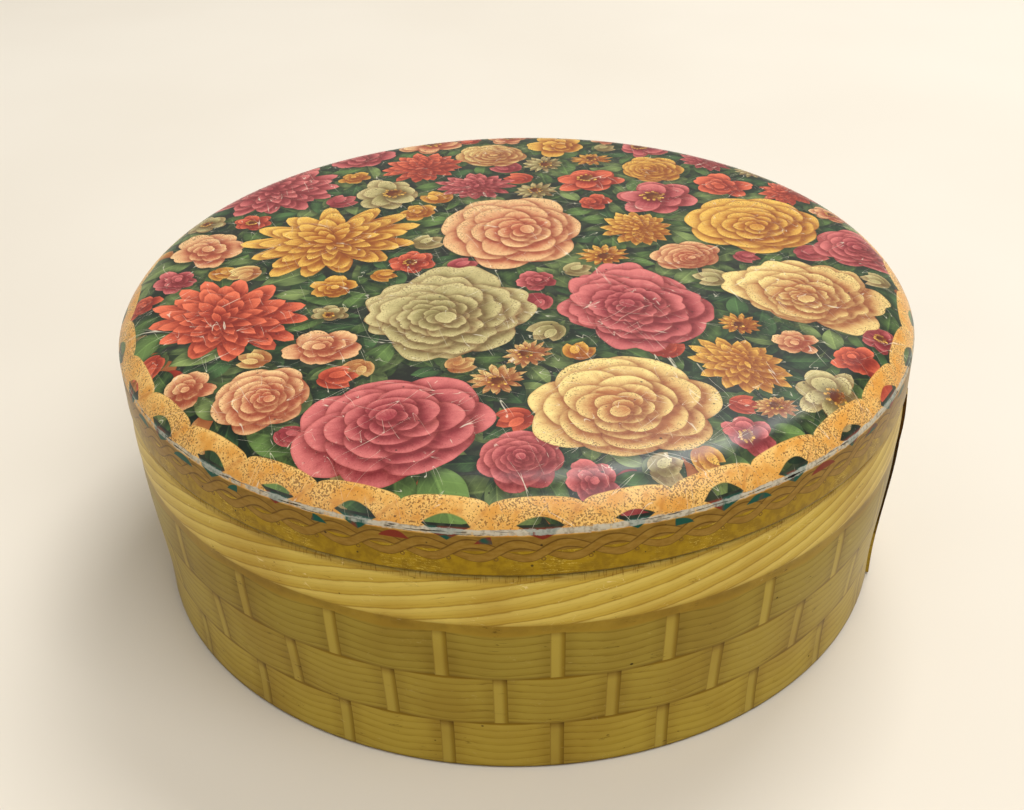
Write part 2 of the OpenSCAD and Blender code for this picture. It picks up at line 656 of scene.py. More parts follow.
@dataclass(frozen=True)
class Shape:
    """One printed petal, leaf or stamen, star-shaped about its centre. Millimetres."""

    kind: Kind
    form: Form
    centre: np.ndarray
    heading: float
    length: float
    width: float
    ink: Ink
    tone: float = 0.0
    ruffle: float = 0.0
    phase: float = 0.0

    TIP_RISE, TIP_WIDTH = 0.28, 0.4
    NOTCH_DEPTH, NOTCH_WIDTH = 0.16, 0.22
    FEWEST_POINTS, MOST_POINTS = 12, 56

    def reach(self, turn: np.ndarray) -> np.ndarray:
        """Give how far the outline lies from the centre.

        Args:
            turn: Angles from the heading.

        Returns:
            The distances.
        """
        along, across = np.cos(turn), np.abs(np.sin(turn))
        if self.form is Form.LENS:
            bow = self.width * along**2 / self.length**2
            root = np.sqrt(across**2 + 4 * bow * self.width)
            return 2 * self.width / (across + root)
        distance = 1 / np.hypot(along / self.length, across / self.width)
        off_tip = np.angle(np.exp(1j * turn))
        if self.form is Form.POINTED:
            distance = distance * (1 + self.TIP_RISE * np.exp(-((off_tip / self.TIP_WIDTH) ** 2)))
        if self.form is Form.NOTCHED:
            distance = distance * (1 - self.NOTCH_DEPTH * np.exp(-((off_tip / self.NOTCH_WIDTH) ** 2)))
        waves = np.sin(3 * turn + self.phase) + 0.6 * np.sin(7 * turn + 2 * self.phase)
        return distance * (1 + self.ruffle * waves * (0.6 + 0.4 * along))

    def outline(self, spacing: float, limit: float) -> np.ndarray:
        """Give the points round the shape.

        Args:
            spacing: About how far apart they are.
            limit: Largest distance from the lid's middle, where the shape is cut off.

        Returns:
            The points, one a row.
        """
        girth = math.pi * (self.length + self.width)
        count = int(np.clip(girth / spacing, self.FEWEST_POINTS, self.MOST_POINTS))
        turn = np.arange(count) * FULL_TURN / count
        ways = rays(turn + self.heading)
        outward = ways @ self.centre
        bound = np.sqrt(outward**2 + limit**2 - self.centre @ self.centre) - outward
        return self.centre + ways * np.minimum(self.reach(turn), bound)[:, None]

    def local(self, points: np.ndarray) -> np.ndarray:
        """Give where points lie on the shape.

        Args:
            points: The points, one a row.

        Returns:
            For each, its share along, its share across and its share of the way to the edge.
        """
        offset = points - self.centre
        forward = unit(self.heading)
        along = offset @ forward
        across = offset @ np.array([-forward[1], forward[0]])
        edge = np.hypot(along, across) / self.reach(np.arctan2(across, along))
        return np.column_stack([along / self.length, across / self.width, np.minimum(edge, 1)])


@dataclass(frozen=True)
class Ring:
    """One ring of petals. Sizes are shares of the blossom's radius."""

    count: int
    distance: float
    length: float
    width: float


@dataclass(frozen=True)
class Species:
    """How one sort of blossom is built, from its outer ring to its heart."""

    form: Form
    rings: tuple[Ring, ...]
    ruffle: float
    looseness: float
    inks: tuple[Ink, ...]
    heart: float = 0.0
    stamens: int = 0


CAMELLIA = Species(
    Form.ROUND,
    (Ring(7, 0.58, 0.41, 0.45), Ring(7, 0.47, 0.36, 0.39), Ring(6, 0.35, 0.3, 0.33),
     Ring(6, 0.25, 0.23, 0.24), Ring(5, 0.15, 0.17, 0.17), Ring(3, 0.07, 0.11, 0.11)),
    0.02, 0.06, (GOLD, CREAM, PINK, PEACH),
)
PEONY = Species(
    Form.NOTCHED,
    (Ring(6, 0.56, 0.44, 0.5), Ring(7, 0.46, 0.38, 0.4), Ring(8, 0.36, 0.3, 0.28),
     Ring(8, 0.26, 0.22, 0.2), Ring(7, 0.17, 0.16, 0.14), Ring(5, 0.08, 0.11, 0.1)),
    0.045, 0.14, (CREAM, PINK, IVORY, GOLD),
)
DAHLIA = Species(
    Form.POINTED,
    (Ring(13, 0.64, 0.29, 0.15), Ring(13, 0.52, 0.27, 0.14), Ring(12, 0.4, 0.24, 0.125),
     Ring(11, 0.29, 0.2, 0.1), Ring(9, 0.19, 0.16, 0.08), Ring(7, 0.1, 0.11, 0.055)),
    0.01, 0.05, (CORAL, GOLD, PINK),
)
ANEMONE = Species(
    Form.ROUND, (Ring(6, 0.5, 0.46, 0.36), Ring(5, 0.42, 0.38, 0.3)),
    0.035, 0.08, (CORAL, PEACH, IVORY, PINK), 0.17, 16,
)
DAISY = Species(
    Form.ROUND, (Ring(13, 0.58, 0.4, 0.13), Ring(11, 0.48, 0.34, 0.11)),
    0.02, 0.06, (IVORY, CREAM, GOLD), 0.22, 9,
)
BUTTERCUP = Species(
    Form.NOTCHED, (Ring(5, 0.5, 0.46, 0.42), Ring(5, 0.27, 0.28, 0.25), Ring(3, 0.1, 0.17, 0.16)),
    0.03, 0.1, (CORAL, GOLD, PINK, PEACH),
)


@dataclass(frozen=True)
class Attitude:
    """How a blossom is turned away: flattened along a direction, with its heart moved that way."""

    lean: float
    squash: float

    @property
    def direction(self) -> np.ndarray:
        """Where the blossom leans."""
        return unit(self.lean)

    def flatten(self, vector: np.ndarray) -> np.ndarray:
        """Flatten a vector along the lean."""
        return vector - (1 - self.squash) * (vector @ self.direction) * self.direction


@dataclass(frozen=True)
class Planting:
    """One round of sowing. Millimetres."""

    species: tuple[Species, ...]
    count: int
    smallest: float
    largest: float
    crowding: float
    leaves: int


class FlowerPrint:
    """The printed garden on the lid: shapes in painting order, cut into one clean sheet of faces."""

    SOWING = (
        Planting((CAMELLIA, PEONY, DAHLIA), 10, 23.0, 29.0, 1.0, 9),
        Planting((ANEMONE, DAHLIA, CAMELLIA, BUTTERCUP), 24, 11.0, 16.0, 0.9, 7),
        Planting((BUTTERCUP, DAISY, ANEMONE), 36, 6.0, 9.0, 0.9, 4),
    )
    FIRST_DISTANCE = 22.0
    BUDS = 34
    BUD_RADIUS = 5.5
    BUD_LARGEST = 8.0
    BUD_CROWDING = 0.85
    BUD_LEAVES = 2
    BUD_INKS = (CORAL, IVORY, PINK, GOLD, CREAM)
    BUD_PETALS = ((0.0, 1.0), (-0.5, 0.92), (0.5, 0.85), (-0.2, 0.7), (0.25, 0.52))
    SEPAL_INK = LEAF_INKS[1]
    SEPAL_TURNS = (-0.75, 0.75, 0.0)
    STAMEN_LEAST = 0.35
    STAMEN_SHARE = 0.035
    STAMEN_REACH = (1.0, 1.5)
    BED_RADIUS = 112.0
    RIM_RADIUS = 116.5
    GRID_RADIUS = 112.5
    PAINT_RADIUS = 119.0
    LOOSE_LEAVES = 170
    LOOSE_RADIUS = BED_RADIUS * 1.04
    LOOSE_LEAF_LENGTHS = (7, 11)
    LEAF_LENGTH = 4.5
    LEAF_GROWTH = 0.28
    RIM_LEAVES = 110
    RIM_LEAF_LENGTH = 9.0
    RIM_PETAL_SHARE = 0.3
    RIM_PETAL_SIZE = (6.0, 5.0)
    OUTLINE_SPACING = 1.3
    SHADE_SPACING = 0.8
    GRID = 1.6
    SPREAD = 1.1
    MERGE = 1e-3
    SHADE_REACH = 3.2
    SHADE_SHIFT = (-0.55, 0.75)
    LIGHT_ANGLE = math.radians(125)
    LIGHT_STRENGTH = 0.13
    OPEN_RINGS = 3
    CUP_LIGHT = -0.8
    TONE_SPREAD = 0.05
    RING_SHADE = 0.03
    SQUASH = (0.72, 0.98)
    HEART_SHIFT = 0.7
    TRIES = 500

    def __init__(self, seed: int) -> None:
        """Start with bare ground and a seeded draw.

        Args:
            seed: What the draw starts from.
        """
        self.draw = np.random.default_rng(seed)
        self.blossoms: list[tuple[np.ndarray, float, int]] = []
        self.shapes: list[Shape] = []

    def sow(self) -> None:
        """Place the blossoms, then list all shapes from the ground upwards."""
        planned: list[tuple[Species, np.ndarray, float]] = []
        for planting in self.SOWING:
            for i in range(planting.count):
                radius = planting.largest - (planting.largest - planting.smallest) * i / planting.count
                spot = self.free_spot(radius, planting.crowding)
                if spot is None:
                    continue
                self.blossoms.append((spot, radius, planting.leaves))
                planned.append((planting.species[i % len(planting.species)], spot, radius))
        buds = []
        for i in range(self.BUDS):
            spot = self.free_spot(self.BUD_RADIUS, self.BUD_CROWDING)
            if spot is not None:
                radius = self.draw.uniform(self.BUD_RADIUS, self.BUD_LARGEST)
                buds.append((self.BUD_INKS[i % len(self.BUD_INKS)], spot, radius))
                self.blossoms.append((spot, self.BUD_RADIUS, self.BUD_LEAVES))
        self.add_leaves()
        for ink, spot, radius in buds:
            self.add_bud(ink, spot, radius)
        last: dict[Species, int] = {}
        for species, spot, radius in reversed(planned):
            turn = last.get(species, int(self.draw.integers(len(species.inks)))) + 1
            last[species] = turn
            self.add_blossom(species, species.inks[turn % len(species.inks)], spot, radius)
        self.shapes = [s for s in self.shapes if math.hypot(*s.centre) < self.PAINT_RADIUS - 1]

    def free_spot(self, radius: float, crowding: float) -> Union[np.ndarray, None]:
        """Find the tightest free place for a blossom.

        Args:
            radius: The blossom's radius.
            crowding: Share of two radii that has to lie between two middles.

        Returns:
            The place, or None where nothing is free.
        """
        angles = self.draw.uniform(0, FULL_TURN, self.TRIES)
        distances = self.BED_RADIUS * np.sqrt(self.draw.uniform(0, 1, self.TRIES))
        spots = rays(angles) * distances[:, None]
        if not self.blossoms:
            return spots[np.argmin(np.abs(distances - self.FIRST_DISTANCE))]
        middles = np.array([b[0] for b in self.blossoms])
        radii = np.array([b[1] for b in self.blossoms])
        gaps = np.linalg.norm(spots[:, None] - middles[None], axis=2)
        slack = (gaps - crowding * (radii + radius)[None]).min(axis=1)
        free = np.flatnonzero(slack > 0)
        if len(free) == 0:
            return None
        return spots[free[np.argmin(slack[free])]]

    def add_leaves(self) -> None:
        """Lay leaves along the border, over the ground and round every blossom."""
        for i in range(self.RIM_LEAVES):
            angle = FULL_TURN * (i + self.draw.uniform(-0.4, 0.4)) / self.RIM_LEAVES
            middle = self.RIM_RADIUS * self.draw.uniform(0.97, 1.0) * unit(angle)
            if self.draw.uniform() < self.RIM_PETAL_SHARE:
                ink, tone = self.BUD_INKS[i % len(self.BUD_INKS)], self.draw.uniform(-0.3, 0.0)
                petal = Shape(Kind.PETAL, Form.ROUND, middle, angle, *self.RIM_PETAL_SIZE, ink, tone, 0.04)
                self.shapes.append(petal)
            else:
                heading = angle + QUARTER + self.draw.normal(0, 0.6)
                self.shapes.append(self.leaf(middle, heading, self.RIM_LEAF_LENGTH))
        leaves: list[Shape] = []
        for spot, radius, count in self.blossoms:
            first = self.draw.uniform(0, FULL_TURN)
            for i in range(count):
                angle = first + FULL_TURN * (i + self.draw.uniform(-0.3, 0.3)) / count
                length = self.draw.uniform(0.75, 1.1) * (self.LEAF_LENGTH + self.LEAF_GROWTH * radius)
                distance = radius * 0.86 + length * 0.55
                middle = spot + distance * unit(angle)
                leaves.append(self.leaf(middle, angle + self.draw.uniform(-0.55, 0.55), length))
        for _ in range(self.LOOSE_LEAVES):
            angle, share = self.draw.uniform(0, FULL_TURN), self.draw.uniform(0, 1)
            middle = self.LOOSE_RADIUS * math.sqrt(share) * unit(angle)
            heading = self.draw.uniform(0, FULL_TURN)
            leaves.append(self.leaf(middle, heading, self.draw.uniform(*self.LOOSE_LEAF_LENGTHS)))
        order = self.draw.permutation(len(leaves))
        self.shapes += [leaves[i] for i in order]

    def leaf(self, middle: np.ndarray, heading: float, length: float) -> Shape:
        """Make one leaf.

        Args:
            middle: Its middle.
            heading: Where its tip points.
            length: Half its length.

        Returns:
            The leaf.
        """
        ink = LEAF_INKS[int(self.draw.integers(len(LEAF_INKS)))]
        width = length * self.draw.uniform(0.42, 0.58)
        tone = self.draw.uniform(-0.18, 0.22)
        return Shape(Kind.LEAF, Form.LENS, middle, heading, length, width, ink, tone)

    def add_blossom(self, species: Species, ink: Ink, spot: np.ndarray, radius: float) -> None:
        """Add the petals of one blossom, the outer ring first.

        Args:
            species: How it is built.
            ink: Its colour.
            spot: Its middle.
            radius: Its radius.
        """
        first = self.draw.uniform(0, FULL_TURN)
        loose = species.looseness
        attitude = Attitude(self.draw.uniform(0, FULL_TURN), self.draw.uniform(*self.SQUASH))
        heart_shift = attitude.direction * radius * (1 - attitude.squash) * self.HEART_SHIFT
        for depth, ring in enumerate(species.rings):
            middle = spot + heart_shift * depth / len(species.rings)
            first += math.pi / ring.count + self.draw.uniform(-0.2, 0.2)
            for i in range(ring.count):
                angle = first + FULL_TURN * i / ring.count + self.draw.normal(0, loose)
                outward = attitude.flatten(unit(angle))
                sideways = attitude.flatten(unit(angle + QUARTER))
                stretch = 1 + self.draw.normal(0, loose)
                distance = radius * ring.distance * (1 + self.draw.normal(0, loose * 0.6))
                centre = middle + distance * outward
                light = self.LIGHT_STRENGTH * math.cos(angle - self.LIGHT_ANGLE)
                light *= 1 if depth < self.OPEN_RINGS else self.CUP_LIGHT
                tone = light + self.draw.normal(0, self.TONE_SPREAD) - self.RING_SHADE * depth
                length = radius * ring.length * stretch * np.linalg.norm(outward)
                spread = 1 + self.draw.normal(0, loose)
                width = radius * ring.width * spread * np.linalg.norm(sideways)
                heading = math.atan2(outward[1], outward[0]) + self.draw.normal(0, loose)
                phase = self.draw.uniform(0, FULL_TURN)
                self.shapes.append(Shape(Kind.PETAL, species.form, centre, heading, length, width, ink, tone,
                                         species.ruffle, phase))
        if species.heart:
            self.add_heart(species, spot + heart_shift, radius)

    def add_bud(self, ink: Ink, spot: np.ndarray, radius: float) -> None:
        """Add a half-open bud seen from the side, with its sepals.

        Args:
            ink: Its colour.
            spot: Its middle.
            radius: Half its length.
        """
        heading = self.draw.uniform(0, FULL_TURN)
        length = radius * 0.62
        for turn in self.SEPAL_TURNS:
            centre = spot - 0.5 * radius * unit(heading) + 0.45 * radius * unit(heading + turn)
            self.shapes.append(Shape(Kind.LEAF, Form.LENS, centre, heading + turn, length, radius * 0.24,
                                     self.SEPAL_INK, self.draw.uniform(-0.1, 0.1)))
        for turn, size in self.BUD_PETALS:
            centre = spot + radius * (0.32 * unit(heading + 2.2 * turn) + 0.2 * (1 - size) * unit(heading))
            self.shapes.append(Shape(Kind.PETAL, Form.POINTED, centre, heading + turn, length * size,
                                     radius * 0.4 * size, ink, self.draw.normal(0.0, 0.08), 0.02))

    def add_heart(self, species: Species, spot: np.ndarray, radius: float) -> None:
        """Add a blossom's golden heart and its stamens.

        Args:
            species: How the blossom is built.
            spot: Its middle.
            radius: Its radius.
        """
        size = radius * species.heart
        self.shapes.append(Shape(Kind.HEART, Form.ROUND, spot, 0.0, size, size, STAMEN, -0.2, 0.05))
        dot = max(self.STAMEN_LEAST, radius * self.STAMEN_SHARE)
        for i in range(species.stamens):
            angle = FULL_TURN * i / species.stamens + self.draw.normal(0, 0.1)
            centre = spot + size * self.draw.uniform(*self.STAMEN_REACH) * unit(angle)
            self.shapes.append(Shape(Kind.HEART, Form.ROUND, centre, angle, dot * 1.3, dot, STAMEN, 0.3))

    def cut(self, rings: np.ndarray) -> tuple[np.ndarray, np.ndarray, np.ndarray]:
        """Cut the whole print into triangles that each lie in one visible shape.

        Args:
            rings: Points of the ring that bounds the print and of rings inside it, one a row.

        Returns:
            The points, the triangles, and for each triangle the shape on top or -1.
        """
        outlines = [s.outline(self.OUTLINE_SPACING, self.PAINT_RADIUS) for s in self.shapes]
        faces, first = [], 0
        for outline in outlines:
            faces.append(list(range(first, first + len(outline))))
            first += len(outline)
        steps = np.arange(-self.PAINT_RADIUS, self.PAINT_RADIUS, self.GRID)
        grid_x, grid_y = np.meshgrid(steps, steps * math.sqrt(3) / 2)
        grid = np.column_stack([grid_x.ravel(), grid_y.ravel()])
        grid = grid + self.draw.uniform(-0.25, 0.25, grid.shape) * self.GRID
        grid = grid[np.hypot(grid[:, 0], grid[:, 1]) < self.GRID_RADIUS]
        points = np.vstack(outlines + [grid, rings])
        cut = delaunay_2d_cdt([Vector(p) for p in points], [], faces, 0, self.MERGE, True)
        owners = np.array([max(stack, default=-1) for stack in cut[5]])
        first_ring = len(points) - len(rings)
        fixed = np.array([max(sources, default=-1) >= first_ring for sources in cut[3]])
        return self.recut(np.array(cut[0]), np.array(cut[2]), owners, fixed)

    def recut(self, points: np.ndarray, triangles: np.ndarray, owners: np.ndarray,
              fixed: np.ndarray) -> tuple[np.ndarray, np.ndarray, np.ndarray]:
        """Cut the print anew along the outlines that are seen, without those that lie hidden.

        Args:
            points: Points of the first cut, one a row.
            triangles: Its triangles.
            owners: For each triangle the shape on top or -1.
            fixed: For each point, whether it has to stay.

        Returns:
            The points, the triangles, and for each triangle the shape on top or -1.
        """
        sides = np.vstack([triangles[:, [i, (i + 1) % 3]] for i in range(3)])
        edges, places = np.unique(np.sort(sides, axis=1), axis=0, return_inverse=True)
        lowest = np.full(len(edges), len(self.shapes))
        highest = np.full(len(edges), -1)
        np.minimum.at(lowest, places.ravel(), np.tile(owners, 3))
        np.maximum.at(highest, places.ravel(), np.tile(owners, 3))
        seen = edges[lowest < highest]
        kept = fixed.copy()
        kept[seen.ravel()] = True
        kept[np.unique(np.round(points / self.SPREAD), axis=0, return_index=True)[1]] = True
        numbers = np.cumsum(kept) - 1
        corners = [Vector(p) for p in points[kept]]
        cut = delaunay_2d_cdt(corners, numbers[seen].tolist(), [], 0, self.MERGE, False)
        new_points, new_triangles = np.array(cut[0]), np.array(cut[2])
        level = np.column_stack([points, np.zeros(len(points))])
        tree = BVHTree.FromPolygons(level.tolist(), triangles.tolist())
        middles = new_points[new_triangles].mean(axis=1)
        nearest = [tree.find_nearest((x, y, 0.0))[2] for x, y in middles]
        return new_points, new_triangles, owners[nearest]

    def shade(self, points: np.ndarray, owners: np.ndarray) -> np.ndarray:
        """Find how deep each corner lies in the shadow of the shapes above its own.

        Args:
            points: The corners' places.
            owners: The corners' shapes.

        Returns:
            The shadow from 0 to 1.
        """
        outlines = [s.outline(self.SHADE_SPACING, self.PAINT_RADIUS) for s in self.shapes]
        tree = KDTree(sum(len(o) for o in outlines))
        ranks: list[int] = []
        for rank, outline in enumerate(outlines):
            for point in outline:
                tree.insert((point[0], point[1], 0), len(ranks))
                ranks.append(rank)
        tree.balance()
        keys = np.column_stack([np.round(points, 4), owners])
        unique, back = np.unique(keys, axis=0, return_inverse=True)
        nearest = np.full(len(unique), self.SHADE_REACH)
        for i, (x, y, owner) in enumerate(unique):
            place = (x + self.SHADE_SHIFT[0], y + self.SHADE_SHIFT[1], 0)
            for _, index, distance in tree.find_range(place, self.SHADE_REACH):
                if ranks[index] > owner and distance < nearest[i]:
                    nearest[i] = distance
        return (1 - nearest / self.SHADE_REACH)[back.ravel()]

    def model(self, name: str, rings: np.ndarray, sizes: TinSizes) -> bpy.types.Object:
        """Make the printed face of the dome.

        Args:
            name: The piece's name.
            rings: Points of the ring where the dome meets the bend and of rings inside it, in metres.
            sizes: The tin's sizes.

        Returns:
            The face, with what the print needs in its corner attributes.
        """
        points, triangles, owners = self.cut(rings / MM)
        heights = sizes.dome_z(np.hypot(points[:, 0], points[:, 1]) * MM)
        mesh = bpy.data.meshes.new(name)
        mesh.from_pydata(np.column_stack([points * MM, heights]).tolist(), [], triangles.tolist())
        corners = np.zeros(len(mesh.loops), np.int32)
        mesh.loops.foreach_get("vertex_index", corners)
        self.write_print(mesh, points[corners], np.repeat(owners, 3))
        piece = bpy.data.objects.new(name, mesh)
        bpy.context.scene.collection.objects.link(piece)
        return piece

    def write_print(self, mesh: bpy.types.Mesh, points: np.ndarray, owners: np.ndarray) -> None:
        """Write each corner's ink, place on its shape, shadow, kind and tone.

        Args:
            mesh: The printed face.
            points: The corners' places.
            owners: The corners' shapes, or -1 on the ground.
        """
        count = len(points)
        deep = np.zeros((count, 4), np.float32)
        light = np.zeros((count, 4), np.float32)
        petal = np.zeros((count, 3), np.float32)
        mark = np.zeros((count, 3), np.float32)
        mark[:, 0] = self.shade(points, owners)
        order = np.argsort(owners, kind="stable")
        ranks, starts = np.unique(owners[order], return_index=True)
        for rank, here in zip(ranks, np.split(order, starts[1:])):
            if rank < 0:
                continue
            shape = self.shapes[rank]
            deep[here] = shape.ink.deep
            light[here] = shape.ink.light
            petal[here] = shape.local(points[here])
            mark[here, 1] = int(shape.kind)
            mark[here, 2] = shape.tone
        for name, values, form in (("deep", deep, "FLOAT_COLOR"), ("light", light, "FLOAT_COLOR"),
                                   ("petal", petal, "FLOAT_VECTOR"), ("mark", mark, "FLOAT_VECTOR")):
            layer = mesh.attributes.new(name, form, "CORNER")
            layer.data.foreach_set("color" if form == "FLOAT_COLOR" else "vector", values.ravel())


class LidBoard(Board):
    """The board of a finish on the lid, with the lid's own two directions."""

    def __init__(self, ink: "LidInk") -> None:
        """Keep the finish whose sizes the directions follow."""
        super().__init__(ink.name)
        self.ink = ink

    @cached_property
    def turn(self) -> Field:
        """Plaits counted round the lid."""
        return self.angle * (self.ink.plaits / FULL_TURN) + self.ink.first_plait

    @cached_property
    def depth(self) -> Field:
        """Millimetres in from the lid's edge, or below it where negative.

        Returns:
            The depth, which is 0 all over the bend.
        """
        s = self.ink.sizes
        x, y, z = self.places
        centre_radius, centre_z = s.round_centre
        radius = self.math("SQRT", x * x + y * y)
        lean = self.math("ARCTAN2", z - centre_z / MM, radius - centre_radius / MM)
        climb = (lean - (QUARTER - s.round_slope)) * (s.round_radius / MM)
        return climb.most(0.0) - (s.lid_edge_z / MM - z).most(0.0)


@dataclass(frozen=True)
class LidInk:
    """The lid's printed finish: the garden, the plaited border, the skirt's plait and their wear.

    Sizes are in millimetres, and depths are counted in from the lid's edge.
    """

    sizes: TinSizes
    name: str
    sheen: float
    plaits: int = 33
    first_plait: float = 0.553
    border_width: float = 6.1
    scallop_rise: float = 2.5
    window_height: float = 2.3
    window_spread: float = 3.1
    small_window_depth: float = -2.9
    plait_depth: float = -4.9
    plait_swing: float = 2.1
    strand_half: float = 1.25
    curl_depth: float = -7.3
    curl_pitch: float = 11.0
    curl_radius: float = 0.45
    worn_depth: float = 0.2
    scratch_angles: tuple[float, ...] = (0.75, -0.35, 1.9)
    ground: Colour = ink_colour(26, 30, 22)
    ground_leaf: Colour = ink_colour(48, 58, 38)
    leaf_hollow: Colour = ink_colour(84, 70, 50)
    petal_hollow: Colour = ink_colour(158, 92, 66)
    rope: Colour = ink_colour(218, 153, 64)
    rope_light: Colour = ink_colour(238, 189, 106)
    rope_rim: Colour = ink_colour(248, 214, 130)
    rope_shade: Colour = ink_colour(176, 96, 26)
    skirt: Colour = ink_colour(136, 101, 33)
    skirt_light: Colour = ink_colour(154, 119, 48)
    strip: Colour = ink_colour(161, 128, 21)
    strip_dark: Colour = ink_colour(138, 107, 17)
    strip_scratch: Colour = ink_colour(224, 194, 84)
    line: Colour = ink_colour(110, 70, 16)
    window: Colour = ink_colour(24, 78, 64)
    window_red: Colour = ink_colour(124, 48, 30)
    basecoat: Colour = ink_colour(192, 184, 164)
    basecoat_dull: Colour = ink_colour(150, 141, 122)
    basecoat_tinted: Colour = ink_colour(104, 140, 140)
    chip: Colour = ink_colour(30, 22, 18)
    speck: Colour = ink_colour(104, 66, 34)
    scratch: Colour = ink_colour(240, 230, 204)
    # grime and painted shade along the hem
    grime_and_shade: Colour = ink_colour(58, 42, 14)

    def paint(self) -> bpy.types.Material:
        """Paint the print from the garden up to its wear.

        Returns:
            The finish.
        """
        board = LidBoard(self)
        colour, window = self.border(board, self.garden(board))
        colour = self.speckle(board, colour)
        colour, bare = self.rub_edge(board, colour, window)
        board.bump(board.noise(0.35, 3.0) * 0.6 - bare * 0.5, PRINT_RELIEF)
        return board.finish(colour, 0.32 + bare * 0.3, sheen=self.sheen)

    def garden(self, board: LidBoard) -> Paint:
        """Paint the flowers and leaves from the print's own attributes.

        Args:
            board: The lid's board.

        Returns:
            The garden's colour.
        """
        deep, light = (board.attribute(name).outputs["Color"] for name in ("deep", "light"))
        along, across, edge = board.split(board.attribute("petal").outputs["Vector"])
        shade, kind, tone = board.split(board.attribute("mark").outputs["Vector"])
        fan = across / (along + 1.9)
        streak = board.grain(fan * 11.0, along * 1.1, tone * 60.0, 3.0, 0.6) - 0.5
        cloud = board.noise(0.16) - 0.5
        stipple = board.noise(2.6, 1.0) - 0.5
        lip = edge.rise(0.62, 0.97)
        petal = 0.42 + along * 0.3 + lip * 0.22 + streak * 0.85 + cloud * 0.35 + tone - shade * 0.45
        petal = petal + stipple * 0.5
        side = across.size()
        rib = side.near(0.0, 0.015, 0.09)
        vein = (along * 3.6 - side * 1.5).part().near(0.5, 0.0, 0.12) * (1.0 - side.rise(0.7, 1.0))
        half = across.rise(-0.06, 0.06)
        leaf = 0.34 + half * 0.2 + along * 0.1 + rib * 0.3 + vein * 0.14 + streak * 0.4 + tone - shade * 0.35
        is_leaf = kind.near(float(Kind.LEAF), 0.2, 0.4)
        share = leaf * is_leaf + petal * (1.0 - is_leaf)
        colour = board.mix(share.most(0.0).least(1.0), deep, light)
        hollow = (shade * shade * 0.8 + edge.rise(0.94, 1.0) * 0.3).least(1.0)
        colour = board.darken(colour, hollow * is_leaf, self.leaf_hollow)
        colour = board.darken(colour, hollow * (1.0 - is_leaf), self.petal_hollow)
        ground = board.mix(board.noise(0.22, 3.0).rise(0.4, 0.65), self.ground, self.ground_leaf)
        return board.mix(kind.rise(0.2, 0.6), ground, colour)

    def border(self, board: LidBoard, garden: Paint) -> tuple[Paint, Field]:
        """Lay the plaited border over the garden and down the skirt.

        Args:
            board: The lid's board.
            garden: The colour below the border.

        Returns:
            The colour with the border, and 1 in the border's windows.
        """
        depth = board.depth
        count = board.turn + (board.noise(0.09) - 0.5) * 0.2
        across = (count.part() - 0.5) * 2.0
        crest = board.math("SQRT", (1.0 - across * across).most(0.0))
        scallop = self.border_width + crest * self.scallop_rise
        inside = depth.rise(scallop - 0.2, scallop + 0.1)
        rope = self.border_rope(board, across, scallop)
        outside = board.mix(depth.rise(-0.8, 0.0), self.skirt_plait(board), rope)
        dark = board.mix(board.noise(0.12).rise(0.5, 0.6), self.window, self.window_red)
        hole = board.mix(1.0 - depth.rise(0.5, 1.3), garden, dark)
        window = self.windows(board, count, across)
        banded = board.mix(window, outside, hole)
        return board.mix(inside, banded, garden), window * (1.0 - inside)

    def windows(self, board: LidBoard, count: Field, across: Field) -> Field:
        """Find the border's openings: an arch in each scallop and, by chance, a hill between two.

        Args:
            board: The lid's board.
            count: Scallops counted round the lid.
            across: Place on a scallop from -1 to 1.

        Returns:
            1 in a window and 0 elsewhere.
        """
        depth = board.depth
        luck = board.grain(count.whole() * 2.7, 0.5, detail=0.0)
        height = self.window_height + luck * self.window_spread
        arch = height - ((across - 0.06) * 1.65).power(2.0) * height
        lower = (across - 0.1).size() * 6.4 - luck * 2.4 - 0.5
        large = (1.0 - depth.rise(arch - 0.2, arch + 0.2)) * depth.rise(lower - 0.15, lower + 0.15)
        valley = 1.0 - across.size()
        roof = valley * valley * -17.0 - 0.5
        foot = depth.rise(self.small_window_depth, self.small_window_depth + 0.3)
        small = (1.0 - depth.rise(roof - 0.2, roof + 0.1)) * foot * luck.rise(0.45, 0.5)
        return large.most(small)

    def border_rope(self, board: LidBoard, across: Field, scallop: Field) -> Paint:
        """Paint the scalloped strand along the dome's rim.

        Args:
            board: The lid's board.
            across: Place on a scallop from -1 to 1.
            scallop: Depth of the scallop's inner edge.

        Returns:
            The strand's colour.
        """
        depth = board.depth
        rope = board.mix(board.noise(0.16, 3.0, 0.6).rise(0.35, 0.62), self.rope, self.rope_light)
        grain = board.grain(board.turn * 8.0, depth * 0.5, detail=3.0, roughness=0.65)
        rope = board.darken(rope, grain.rise(0.5, 0.72) * 0.3, self.rope_shade)
        fold = (across - (depth * 0.07 + 0.5)).near(0.0, 0.015, 0.1) * (1.0 - depth.rise(5.6, 6.6))
        rope = board.darken(rope, fold * 0.25, self.rope_shade)
        return board.mix(depth.near(scallop - 0.5, 0.1, 0.6) * 0.25, rope, self.rope_rim)

